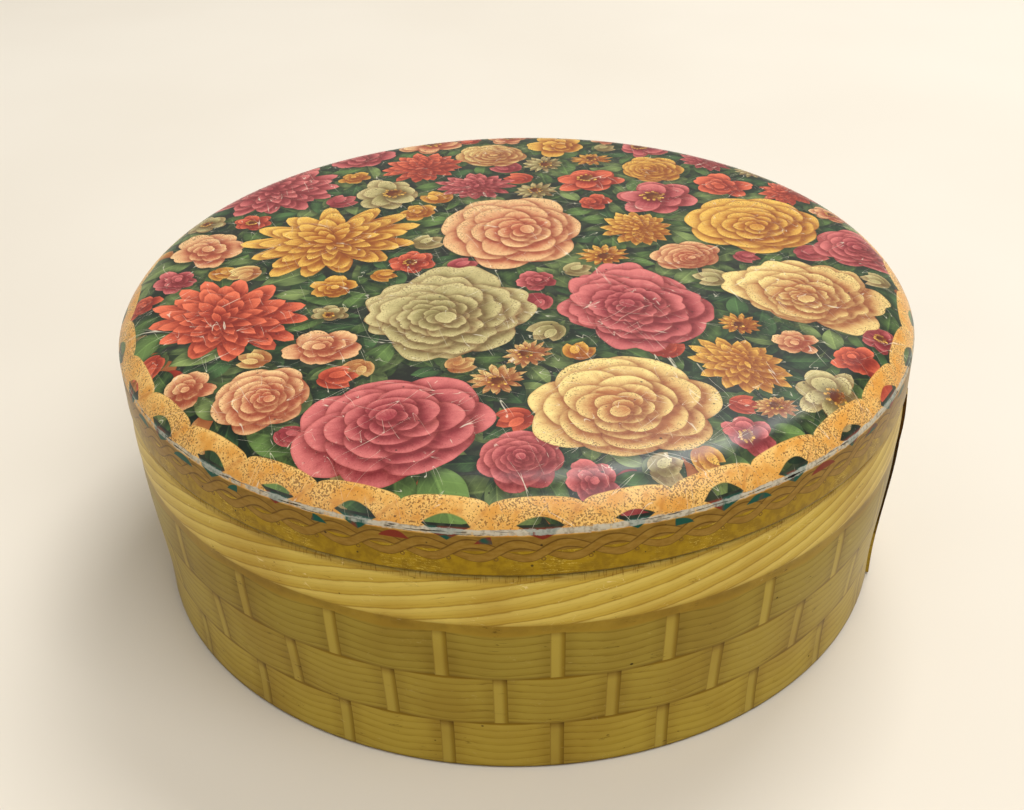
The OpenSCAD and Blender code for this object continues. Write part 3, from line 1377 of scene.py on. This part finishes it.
    def skirt_plait(self, board: LidBoard) -> Paint:
        """Paint the skirt: a plait of two strands above a plain strip.

        Args:
            board: The lid's board.

        Returns:
            The skirt's colour.
        """
        turn, depth = board.turn, board.depth
        phase = (turn * 2.0 + depth * 0.03) * math.pi
        wave = phase.sine() * self.plait_swing
        level = depth - self.plait_depth
        strands = ((level - wave).size(), (level + wave).size())
        half = self.strand_half
        on_first, on_second = (1.0 - strand.rise(half - 0.1, half + 0.05) for strand in strands)
        first_line, second_line = (strand.near(half, 0.05, 0.34) for strand in strands)
        first_over = (phase + QUARTER).sine().rise(-0.05, 0.05)
        lines = (first_line.most(second_line * (1.0 - on_first)) * first_over
                 + second_line.most(first_line * (1.0 - on_second)) * (1.0 - first_over))
        curl_x = ((turn * 2.0 + 0.4).part() - 0.5) * self.curl_pitch
        curl_y = depth - self.curl_depth
        curl = board.math("SQRT", curl_x * curl_x + curl_y * curl_y).near(self.curl_radius, 0.05, 0.25)
        plait = on_first.most(on_second)
        grain = board.grain(turn * 7.0, depth * 0.8, detail=3.0, roughness=0.6)
        tan = board.mix(grain.rise(0.3, 0.7), self.skirt, self.skirt_light)
        tan = board.darken(tan, (1.0 - plait) * 0.16, self.line)
        tan = board.darken(tan, lines.most(curl * 0.6) * 0.58, self.line)
        strip = board.mix(board.noise(0.4, 3.0).rise(0.35, 0.65), self.strip, self.strip_dark)
        nick = board.grain(turn * 6.0 + depth * 0.9, depth * 1.3).near(0.5, 0.0, 0.018)
        nick = nick * board.grain(turn * 1.3, 0.0).rise(0.45, 0.62)
        strip = board.mix(nick * 0.8, strip, self.strip_scratch)
        return board.mix(plait.most(level.rise(-0.1, 0.1)).most(curl), strip, tan)

    def speckle(self, board: LidBoard, colour: Paint) -> Paint:
        """Age the print with pepper-fine specks, scratches and the hem's grime.

        Args:
            board: The lid's board.
            colour: The fresh print.

        Returns:
            The aged colour.
        """
        depth = board.depth
        on_dome = depth.rise(-0.5, 1.0)
        rim = depth.near(4.0, 5.0, 12.0) * on_dome
        patch = board.noise(0.045, 3.0)
        pale = board.split(colour)[1].rise(0.2, 0.5)
        limit = 0.7 - pale * 0.07 - (patch.rise(0.3, 0.6) * 0.1 + rim * 0.05) * (0.25 + pale * 0.75)
        pepper = board.noise(2.1, 2.0, 0.6).rise(limit, limit + 0.05)
        colour = board.darken(colour, pepper * (0.3 + on_dome * 0.42), self.speck)
        colour = board.mix(board.specks(board.place, 0.4, 0.17, 0.2) * 0.8, colour, self.chip)
        worn = board.noise(0.9, 4.0, 0.7).rise(0.6, 0.72) * patch.rise(0.5, 0.62) * on_dome
        colour = board.mix(worn * 0.3, colour, self.scratch)
        colour = board.mix(self.hairlines(board) * on_dome * 0.6, colour, self.scratch)
        # painted shade with uneven grime: the skirt's foot by the hem is darkened as if in the hem's shadow
        foot = -self.sizes.skirt_height / MM
        hem = 1.0 - depth.rise(foot, foot + 1.3)
        hem = hem * (0.7 + board.grain(board.turn * 3.0, depth, detail=3.0) * 0.6)
        return board.darken(colour, hem.least(1.0), self.grime_and_shade)

    def hairlines(self, board: LidBoard) -> Field:
        """Scratch broken hairlines across the dome in a few directions.

        Args:
            board: The lid's board.

        Returns:
            1 on a hairline and 0 elsewhere.
        """
        x, y, _ = board.places
        lines: Number = 0.0
        for angle in self.scratch_angles:
            along = x * math.cos(angle) + y * math.sin(angle)
            over = y * math.cos(angle) - x * math.sin(angle)
            broken = board.grain(along * 0.09, over * 0.4, angle).rise(0.52, 0.58)
            lines = board.grain(along * 0.02, over * 0.17, angle).near(0.5, 0.0, 0.0035) * broken + lines
        return lines.least(1.0)

    def rub_edge(self, board: LidBoard, colour: Paint, window: Field) -> tuple[Paint, Field]:
        """Rub the print off the lid's edge, down to its base coat and in places to dark metal.

        Args:
            board: The lid's board.
            colour: The print.
            window: 1 in the border's windows.

        Returns:
            The worn colour, and 1 where the lacquer is gone.
        """
        turn, depth = board.turn, board.depth
        ragged = board.grain(turn * 6.0, depth * 0.9, detail=4.0, roughness=0.7) - 0.5
        # wear and painted highlight: the pale bare band widens towards the front right, standing in for the
        # bend's bright reflection there
        facing = (turn * (FULL_TURN / self.plaits) + 2.6).sine()
        width = board.grain(turn * 0.3, 5.0) * 1.2 - 0.48 + facing * 0.32
        bare = 1.0 - ((depth - self.worn_depth).size() + ragged * 1.7 - width).rise(-0.12, 0.12)
        coat = board.mix(board.noise(0.9, 3.0).rise(0.45, 0.7), self.basecoat, self.basecoat_dull)
        coat = board.mix(window * 0.4, coat, self.basecoat_tinted)
        colour = board.mix(bare * 0.94, colour, coat)
        height = board.places[2]
        dash = board.grain(turn * 3.0, height * 2.2, detail=3.0, roughness=0.6).rise(0.57, 0.6)
        chipped = board.grain(turn * 0.5, 9.0).rise(0.42, 0.52)
        dash = dash * chipped * depth.near(self.worn_depth, 0.6, 1.1) * (bare + 0.05).least(1.0)
        return board.mix(dash, colour, self.chip), bare.most(dash)


@dataclass(frozen=True)
class WeaveInk:
    """The wall's printed finish: three rows of basket weave below a rope band. Millimetres."""

    crease_z: float
    shoulder_z: float
    seam_angle: float
    stakes: int = 25
    first_stake: float = math.radians(-85.65)
    rows: int = 3
    canes: float = 6.5
    sag: float = 1.4
    rim_sag: float = 0.6
    crease_gap: float = 1.3
    crease_sag: float = 0.4
    band_lift: float = 1.2
    stake_share: float = 0.064
    strands: int = 37
    seam_half: float = math.radians(0.94)
    sheen: float = 0.08
    cane: Colour = ink_colour(161, 135, 45)
    cane_light: Colour = ink_colour(177, 152, 60)
    # glaze of painted shade laid over the upper rows of the weave
    painted_row_shade: Colour = ink_colour(148, 152, 172)
    line: Colour = ink_colour(150, 112, 24)
    gap: Colour = ink_colour(138, 108, 24)
    hollow: Colour = ink_colour(157, 127, 42)
    stake: Colour = ink_colour(173, 149, 62)
    stake_side: Colour = ink_colour(138, 111, 31)
    neck: Colour = ink_colour(176, 146, 62)
    neck_rubbed: Colour = ink_colour(196, 172, 98)
    band: Colour = ink_colour(190, 158, 58)
    band_light: Colour = ink_colour(213, 187, 94)
    tan: Colour = ink_colour(186, 150, 80)
    chip: Colour = ink_colour(40, 28, 14)
    scratch: Colour = ink_colour(236, 216, 150)
    # grime for scuffs, the crease and the seam, and painted shade at the foot
    grime_and_shade: Colour = ink_colour(88, 60, 14)

    def paint(self) -> bpy.types.Material:
        """Paint the weave, the band, the neck and their wear.

        Returns:
            The finish.
        """
        board = Board("wall_print")
        z = board.places[2]
        turn = (board.angle - self.first_stake) * (self.stakes / FULL_TURN)
        colour: Paint = self.gap
        for row in range(self.rows):
            colour = self.row(board, colour, row, turn)
        band_z = self.crease_z + self.band_lift
        colour = board.mix(z.rise(band_z - 0.25, band_z + 0.25), colour, self.rope(board))
        rubbed = board.grain(board.angle * 40.0, z * 0.12, detail=3.0, roughness=0.6).rise(0.35, 0.7)
        neck = board.mix(rubbed, self.neck, self.neck_rubbed)
        colour = board.mix(z.rise(self.shoulder_z + 0.3, self.shoulder_z + 0.7), colour, neck)
        colour, chips = self.wear(board, colour)
        board.bump(board.noise(0.3, 3.0) * 0.6 - chips * 0.5, PRINT_RELIEF)
        return board.finish(colour, 0.34 + chips * 0.3, sheen=self.sheen)

    def row(self, board: Board, below: Paint, row: int, turn: Field) -> Paint:
        """Paint one row of canes and the stakes they pass between.

        Args:
            board: The wall's board.
            below: The colour painted so far.
            row: Which row it is, from the foot up.
            turn: Stakes counted round the wall.

        Returns:
            The colour with the row.
        """
        z = board.places[2]
        tall = self.crease_z / self.rows
        across = (turn + 0.5 * (row % 2) + 0.5).part() - 0.5
        off = across.size()
        bow = (across * math.pi).sine()
        belly = bow * bow
        up = (z - row * tall) / tall
        grain = board.grain(turn * 2.2, z * 0.9, float(row), 3.0, 0.6)
        step = ((up + belly * (self.sag / tall)) * self.canes + grain * 0.5).part()
        light = step.rise(0.05, 0.6) * 0.6 + grain * 0.5
        cane = board.mix(light.least(1.0), self.cane, self.cane_light)
        # painted shade: each row higher up is glazed darker, standing in for the shade under the rope band
        cane = board.darken(cane, row * 0.16, self.painted_row_shade)
        groove = step.near(0.0, 0.01, 0.13).most(step.near(1.0, 0.0, 0.06))
        cane = board.darken(cane, groove * (0.33 - belly * 0.14), self.line)
        beside = 1.0 - off.rise(self.stake_share, self.stake_share + 0.15)
        cane = board.darken(cane, beside * 0.22, self.line)
        rim = up + belly * (self.rim_sag / tall)
        top = rim
        if row == self.rows - 1:
            top = rim + (belly * self.crease_sag + self.crease_gap) / tall
            below = board.mix(top.rise(0.5, 0.6), below, self.hollow)
        colour = board.mix(rim.rise(0.0, 0.02) * (1.0 - top.rise(0.97, 1.0)), below, cane)
        colour = board.darken(colour, rim.near(0.015, 0.01, 0.05) * 0.36, self.line)
        side = across / self.stake_share
        stake = board.mix(side.rise(0.0, 0.8), self.stake, self.stake_side)
        stake = board.darken(stake, side.size().rise(0.75, 1.0) * 0.45, self.line)
        stake = board.darken(stake, up.near(1.0, 0.04, 0.2) * 0.5, self.line)
        shown = 1.0 - off.rise(self.stake_share * 0.94, self.stake_share * 1.06)
        shown = shown * up.rise(-0.01, 0.01) * (1.0 - top.rise(0.98, 1.0))
        return board.mix(shown, colour, stake)

    def rope(self, board: Board) -> Paint:
        """Paint the rope band's strands.

        Args:
            board: The wall's board.

        Returns:
            The band's colour.
        """
        angle, z = board.angle, board.places[2]
        up = ((z - self.crease_z) / (self.shoulder_z - self.crease_z)).most(0.0).least(1.0)
        bend = board.math("ARCSINE", up * 2.0 - 1.0) * (1 / math.pi) + 0.5
        lay = angle * (self.strands / FULL_TURN) - up * 2.6 - bend * 1.8
        grain = board.grain(angle * 9.0, z * 0.5, detail=3.0, roughness=0.6)
        step = (lay + grain * 0.3).part()
        strand = board.mix((1.0 - step.rise(0.05, 0.85)) * 0.85 + grain * 0.25, self.band, self.band_light)
        groove = step.near(1.0, 0.01, 0.14).most(step.near(0.0, 0.0, 0.06))
        fine = (lay * 3.0 + grain * 1.6).part().near(0.5, 0.0, 0.14)
        ends = up.near(0.0, 0.02, 0.14).most(up.near(1.0, 0.02, 0.1))
        for shade in (groove * 0.4, fine * 0.14, ends * 0.4):
            strand = board.darken(strand, shade, self.line)
        return strand

    def wear(self, board: Board, colour: Paint) -> tuple[Paint, Field]:
        """Age the print: chips, scuffs, ticks below the hem, grime at the crease, the seam and the foot.

        Args:
            board: The wall's board.
            colour: The fresh print.

        Returns:
            The worn colour, and 1 where the lacquer is gone.
        """
        angle, z = board.angle, board.places[2]
        colour = board.darken(colour, board.noise(0.035, 3.0).rise(0.42, 0.7) * 0.3, self.tan)
        chips = board.specks(board.vector(angle * 90.0, z), 0.3, 0.13, 0.1)
        colour = board.mix(chips * 0.9, colour, self.chip)
        scuff = board.grain(angle * 8.0, z * 0.8).near(0.5, 0.0, 0.012)
        scuff = scuff * board.grain(angle * 12.0, z * 0.2, 3.0).rise(0.62, 0.66)
        colour = board.darken(colour, scuff * 0.7, self.grime_and_shade)
        nick = board.grain(angle * 30.0 + z * 0.3, z * 0.5, 7.0, detail=1.0).near(0.5, 0.0, 0.01)
        nick = nick * board.grain(angle * 14.0, z * 0.16, 5.0).rise(0.58, 0.64)
        nick = nick * (0.2 + z.rise(self.crease_z, self.crease_z + 4.0) * 0.8)
        colour = board.mix(nick * 0.6, colour, self.scratch)
        uneven = z - board.grain(angle * 60.0, 0.0) * 3.0
        tick = board.grain(angle * 420.0, z * 0.3).rise(0.56, 0.66)
        tick = tick * uneven.rise(self.shoulder_z - 3.2, self.shoulder_z - 1.8)
        colour = board.darken(colour, tick * 0.55, self.line)
        stain = board.noise(0.11, 4.0, 0.65).rise(0.36, 0.66)
        crease = z.near(self.crease_z + 0.3, 0.4, 2.8) * stain
        # painted shade: the bottom of the wall next to the floor is darkened as if in shadow
        foot = 1.0 - z.rise(0.3, 1.6)
        seam = (angle - self.seam_angle).size().near(self.seam_half, 0.0015, 0.004) * z.rise(14.0, 26.0)
        # grime at the crease and the seam, painted shade at the foot
        grime_and_shade = (crease * 0.24).most(foot * 0.7).most(seam * 0.95)
        return board.darken(colour, grime_and_shade, self.grime_and_shade), chips


@dataclass(frozen=True)
class TinplateMetal:
    """Bare tinplate with spangle, fine scratches and a little rust."""

    name: str
    bright: Colour = ink_colour(198, 192, 172)
    dull: Colour = ink_colour(170, 162, 138)
    rust: Colour = ink_colour(122, 74, 38)
    rust_share: float = 0.4

    def paint(self) -> bpy.types.Material:
        """Paint the metal from Object coordinates.

        Returns:
            The finish.
        """
        board = Board(self.name)
        x, y, z = board.places
        spangle = board.noise(0.09, 4.0, 0.6)
        colour = board.mix(spangle.rise(0.35, 0.68), self.bright, self.dull)
        patch = board.noise(0.05, 4.0, 0.65).rise(0.6, 0.72) * board.noise(0.8, 3.0).rise(0.4, 0.7)
        spots = board.specks(board.place, 0.5, 0.2, 0.12)
        rust = (patch * self.rust_share + spots * 0.7).least(1.0)
        colour = board.mix(rust, colour, self.rust)
        brush = board.grain(x * 0.05, y * 1.6, z * 0.05, 3.0)
        board.bump(brush * 0.4 + spangle * 0.3, METAL_RELIEF)
        return board.finish(colour, 0.34 + brush * 0.16 + rust * 0.35, 0.9 - rust * 0.8)


@dataclass
class Lid:
    """The drawn lid: a printed dome, its skirt and the curled hem."""

    sizes: TinSizes
    garden_seed: int = 41
    dome_sheen: float = 0.39
    skirt_sheen: float = 0.08
    rim_reach: float = 0.05 * MM
    weld_distance: float = 0.005 * MM
    inside: TinplateMetal = TinplateMetal("lid_inside", ink_colour(196, 188, 164), ink_colour(168, 158, 132))

    def outer_path(self) -> list[Point]:
        """Give the outer face of the skirt.

        Returns:
            The points from the end of the hem to the foot of the dome.
        """
        s = self.sizes
        curl = (s.lid_radius - s.hem_curl, s.hem_z + s.hem_curl)
        bend = (s.lid_radius - s.edge_bend, s.lid_edge_z)
        hem = arc(curl, s.hem_curl, FULL_TURN - CURL_TURN, FULL_TURN)
        return hem + arc(bend, s.edge_bend, 0, QUARTER - s.round_slope)

    def dome_path(self) -> list[Point]:
        """Give the outer face of the dome.

        Returns:
            The points from the foot of the dome to its middle.
        """
        s = self.sizes
        level = QUARTER - s.bow_slope
        turned = arc(s.round_centre, s.round_radius, QUARTER - s.round_slope, level, CURVE_STEPS)
        return turned + arc(s.bow_centre, s.bow_radius, level, QUARTER, CURVE_STEPS)[1:]

    def face_rings(self, rim_radius: float, segments: int) -> np.ndarray:
        """Give points in rings round the edge of the printed dome, where it is steep.

        Args:
            rim_radius: Radius of the ring where the dome meets the bend.
            segments: Points of that ring.

        Returns:
            The points in plan, one a row.
        """
        coarse = rays(np.arange(segments) * FULL_TURN / segments)
        fine = rays(np.arange(2 * segments) * FULL_TURN / (2 * segments))
        radii = [radius for radius, _ in self.dome_path()[2:CURVE_STEPS // 2 + 2:2]]
        return np.vstack([coarse * rim_radius] + [fine * radius for radius in radii])

    def build(self) -> bpy.types.Object:
        """Model the skirt and the inside by spinning, and close them with the printed dome.

        Returns:
            The finished lid.
        """
        s = self.sizes
        outer = self.outer_path()
        rim_radius = outer[-1][0]
        inner = other_face(outer + self.dome_path()[1:], s.sheet)
        shell = TurnedShell("printed_lid", outer[::-1] + inner, len(outer))
        skirt = shell.model()
        garden = FlowerPrint(self.garden_seed)
        garden.sow()
        face = garden.model("lid_face", self.face_rings(rim_radius, shell.segments), s)
        inside = self.inside.paint()
        inks = (LidInk(s, "skirt_print", self.skirt_sheen), LidInk(s, "lid_print", self.dome_sheen))
        for piece, ink in zip((skirt, face), inks):
            piece.data.materials.append(ink.paint())
            piece.data.materials.append(inside)
        return self.join(skirt, face, rim_radius)

    def join(self, skirt: bpy.types.Object, face: bpy.types.Object, rim_radius: float) -> bpy.types.Object:
        """Join the printed dome to the skirt and weld the ring where they meet.

        Args:
            skirt: The spun skirt and inside.
            face: The printed dome.
            rim_radius: Radius of the ring.

        Returns:
            The joined lid.
        """
        bpy.ops.object.select_all(action="DESELECT")
        face.select_set(True)
        skirt.select_set(True)
        bpy.context.view_layer.objects.active = skirt
        bpy.ops.object.join()
        mesh = skirt.data
        for vertex in mesh.vertices:
            radius = math.hypot(vertex.co.x, vertex.co.y)
            vertex.select = abs(radius - rim_radius) < self.rim_reach
        bpy.ops.object.mode_set(mode="EDIT")
        bpy.ops.mesh.select_mode(type="VERT")
        bpy.ops.mesh.remove_doubles(threshold=self.weld_distance)
        bpy.ops.mesh.select_all(action="SELECT")
        bpy.ops.mesh.normals_make_consistent(inside=False)
        bpy.ops.object.mode_set(mode="OBJECT")
        bpy.ops.object.shade_smooth_by_angle(angle=SMOOTH_ANGLE)
        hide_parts("lid")
        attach(skirt, "lid")
        return skirt


@dataclass
class BodyWall:
    """The rolled wall: hooked foot, barrel, rope band, shoulder, neck, curled rim and side seam."""

    sizes: TinSizes
    segments: int = 192
    inside: TinplateMetal = TinplateMetal("wall_inside")

    def side_path(self) -> list[Point]:
        """Give the outer face of the barrel and the band.

        Returns:
            The points from the straight foot to the shoulder.
        """
        s = self.sizes
        shares = [i / CURVE_STEPS for i in range(CURVE_STEPS + 1)]
        barrel_height = s.belly_z - s.foot_straight
        barrel = [(s.foot_radius + s.foot_inset * ease(t), s.foot_straight + barrel_height * t)
                  for t in shares]
        band = [(s.belly_radius + s.band_bulge * math.sin(math.pi * t), s.belly_z + s.band_height * t)
                for t in shares[1:]]
        return barrel + band

    def outer_path(self) -> list[Point]:
        """Give the outer face of the wall.

        Returns:
            The points from the edge behind the foot to the end of the curled rim.
        """
        s = self.sizes
        foot_out = (s.foot_radius - s.foot_roll, s.foot_roll)
        foot_in = (foot_out[0] - s.foot_flat, s.foot_roll)
        turn_out = (s.belly_radius - s.shoulder, s.shoulder_z)
        turn_in = (turn_out[0], s.shoulder_z + 2 * s.shoulder)
        rim = (s.neck_radius - s.rim_curl, s.rim_z - s.rim_curl)
        path = [(foot_in[0] - s.foot_roll, s.foot_hook)]
        path += arc(foot_in, s.foot_roll, math.pi, 1.5 * math.pi)
        path += arc(foot_out, s.foot_roll, 1.5 * math.pi, FULL_TURN)
        path += self.side_path()
        path += arc(turn_out, s.shoulder, 0, QUARTER)[1:]
        path += arc(turn_in, s.shoulder, 1.5 * math.pi, math.pi)[1:]
        path += arc(rim, s.rim_curl, 0, CURL_TURN)
        return path

    def build(self) -> bpy.types.Object:
        """Model the wall and its folded seam.

        Returns:
            The finished wall.
        """
        s = self.sizes
        outer = self.outer_path()
        inner = other_face(outer, s.sheet)
        outline = outer + inner[::-1] + outer[:1]
        start = s.seam_angle - math.pi / self.segments
        wall = TurnedShell("printed_wall", outline, len(outer), start, self.segments).model()
        self.fold_seam(wall)
        bpy.ops.object.shade_smooth_by_angle(angle=SMOOTH_ANGLE)
        wall.data.materials.append(WeaveInk(s.belly_z / MM, s.shoulder_z / MM, s.seam_angle).paint())
        wall.data.materials.append(self.inside.paint())
        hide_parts("body_wall")
        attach(wall, "tin")
        return wall

    def fold_seam(self, wall: bpy.types.Object) -> None:
        """Raise the strip of faces where the wall's two edges are folded together.

        Args:
            wall: The spun wall.
        """
        s = self.sizes
        bpy.context.view_layer.objects.active = wall
        half = math.pi / self.segments
        bpy.ops.object.mode_set(mode="EDIT")
        bpy.ops.mesh.select_mode(type="FACE")
        bpy.ops.mesh.select_all(action="DESELECT")
        bpy.ops.object.mode_set(mode="OBJECT")
        for polygon in wall.data.polygons:
            centre = polygon.center
            angle = math.atan2(centre.y, centre.x) - s.seam_angle
            on_side = s.foot_roll < centre.z < s.shoulder_z
            polygon.select = on_side and abs(angle) < half and polygon.material_index == 0
        bpy.ops.object.mode_set(mode="EDIT")
        bpy.ops.mesh.extrude_region_shrink_fatten(TRANSFORM_OT_shrink_fatten={"value": s.seam_rise})
        bpy.ops.object.mode_set(mode="OBJECT")


@dataclass
class Base:
    """The base: a panel with a raised middle, and a flange hooked into the wall's foot."""

    sizes: TinSizes
    under: TinplateMetal = TinplateMetal(
        "base_under", ink_colour(180, 174, 158), ink_colour(146, 138, 120), rust_share=0.88
    )
    inside: TinplateMetal = TinplateMetal("base_inside")

    def under_path(self) -> list[Point]:
        """Give the underside of the base.

        Returns:
            The points from its middle to the end of the flange turned up in the foot.
        """
        s = self.sizes
        foot_width = 2 * s.foot_roll + s.foot_flat
        flange_width = foot_width - 2 * s.sheet - 2 * s.seam_clearance
        flange_radius = s.foot_radius - s.sheet - s.seam_clearance
        panel_radius = flange_radius - s.sheet - s.panel_bend
        path = [(0.0, s.panel_z + s.panel_step)]
        for i in range(CURVE_STEPS // 2 + 1):
            share = 2 * i / CURVE_STEPS
            radius = panel_radius - s.panel_rim - s.panel_slope * (1 - share)
            path.append((radius, s.panel_z + s.panel_step * (1 - ease(share))))
        path += arc((panel_radius, s.panel_z - s.panel_bend), s.panel_bend, QUARTER, 0)
        turn = (flange_radius - flange_width / 2, s.sheet + s.seam_clearance + flange_width / 2)
        path += arc(turn, flange_width / 2 - s.sheet, 0, -math.pi)
        path.append((flange_radius - flange_width + s.sheet, s.foot_hook - s.sheet))
        return path

    def build(self) -> bpy.types.Object:
        """Model the base.

        Returns:
            The finished base.
        """
        under = self.under_path()
        upper = other_face(under, self.sizes.sheet)
        base = TurnedShell("tinplate_base", under + upper[::-1], len(under)).model()
        bpy.ops.object.shade_smooth_by_angle(angle=SMOOTH_ANGLE)
        for metal in (self.under, self.inside):
            base.data.materials.append(metal.paint())
        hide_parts("base")
        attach(base, "tin")
        return base


@dataclass(frozen=True)
class Lamp:
    """A soft square lamp that faces the tin. Metres and watts."""

    name: str
    place: tuple[float, float, float]
    size: float
    power: float
    target: tuple[float, float, float] = (0.0, 0.0, 0.06)

    def hang(self) -> None:
        """Add the lamp and turn it to its target."""
        data = bpy.data.lights.new(self.name, "AREA")
        data.size = self.size
        data.energy = self.power
        lamp = bpy.data.objects.new(self.name, data)
        lamp.location = self.place
        aim = Vector(self.target) - Vector(self.place)
        lamp.rotation_euler = aim.to_track_quat("-Z", "Y").to_euler()
        bpy.context.scene.collection.objects.link(lamp)


@dataclass(frozen=True)
class Studio:
    """A plain pale floor, soft light and the photograph's camera."""

    image_width: int = 1024
    focal_pixels: float = 1350.0
    camera_place: tuple[float, float, float] = (0.00017, -0.37204, 0.27931)
    camera_yaw: float = math.radians(-0.3)
    camera_pitch: float = math.radians(32.46)
    camera_roll: float = math.radians(-1.28)
    sensor: float = 36.0
    nearest_view: float = 0.01
    floor_size: float = 60.0
    floor_roughness: float = 0.7
    floor_pale: Colour = ink_colour(228, 220, 206)
    floor_shade: Colour = ink_colour(222, 213, 198)
    sky: Colour = (1.0, 0.97, 0.9, 1.0)
    sky_strength: float = 0.42
    lamps: tuple[Lamp, ...] = (
        Lamp("window", (0.48, 0.85, 1.7), 0.8, 20.0),
        Lamp("key", (0.7, -0.8, 2.0), 1.4, 26.0),
        Lamp("fill", (-1.3, -1.1, 0.9), 1.2, 4.0),
    )

    def build(self) -> None:
        """Set up the floor, the light and the camera."""
        scene = bpy.context.scene
        scene.view_settings.view_transform = "Standard"
        self.add_floor()
        scene.world = bpy.data.worlds.new("studio")
        scene.world.use_nodes = True
        sky = scene.world.node_tree.nodes["Background"].inputs
        sky["Color"].default_value = self.sky
        sky["Strength"].default_value = self.sky_strength
        for lamp in self.lamps:
            lamp.hang()
        self.add_camera(scene)

    def add_floor(self) -> None:
        """Lay the floor at the height of the tin's foot."""
        bpy.ops.object.select_all(action="DESELECT")
        bpy.ops.mesh.primitive_plane_add(size=self.floor_size)
        floor = bpy.context.active_object
        floor.name = "floor"
        board = Board("pale_floor")
        colour = board.mix(board.noise(0.003, 3.0).rise(0.3, 0.7), self.floor_pale, self.floor_shade)
        floor.data.materials.append(board.finish(colour, self.floor_roughness))

    def add_camera(self, scene: bpy.types.Scene) -> None:
        """Set up the camera at the photograph's place and angle.

        Args:
            scene: The scene that looks through it.
        """
        camera = bpy.data.objects.new("camera", bpy.data.cameras.new("camera"))
        camera.data.sensor_width = self.sensor
        camera.data.lens = self.sensor * self.focal_pixels / self.image_width
        camera.data.clip_start = self.nearest_view
        camera.location = self.camera_place
        yaw = Matrix.Rotation(-self.camera_yaw, 3, "Z")
        pitch = Matrix.Rotation(QUARTER - self.camera_pitch, 3, "X")
        roll = Matrix.Rotation(self.camera_roll, 3, "Z")
        camera.rotation_euler = (yaw @ pitch @ roll).to_euler()
        scene.collection.objects.link(camera)
        scene.camera = camera


def main() -> None:
    """Build the tin and its studio, and write the two boxes."""
    logging.basicConfig(level=logging.INFO, format="%(name)s: %(message)s")
    sizes = TinSizes.from_frame()
    for assembly in (Lid(sizes), BodyWall(sizes), Base(sizes)):
        piece = assembly.build()
        LOG.info("%s: %d faces", piece.name, len(piece.data.polygons))
    Studio().build()


if __name__ == "__main__":
    main()
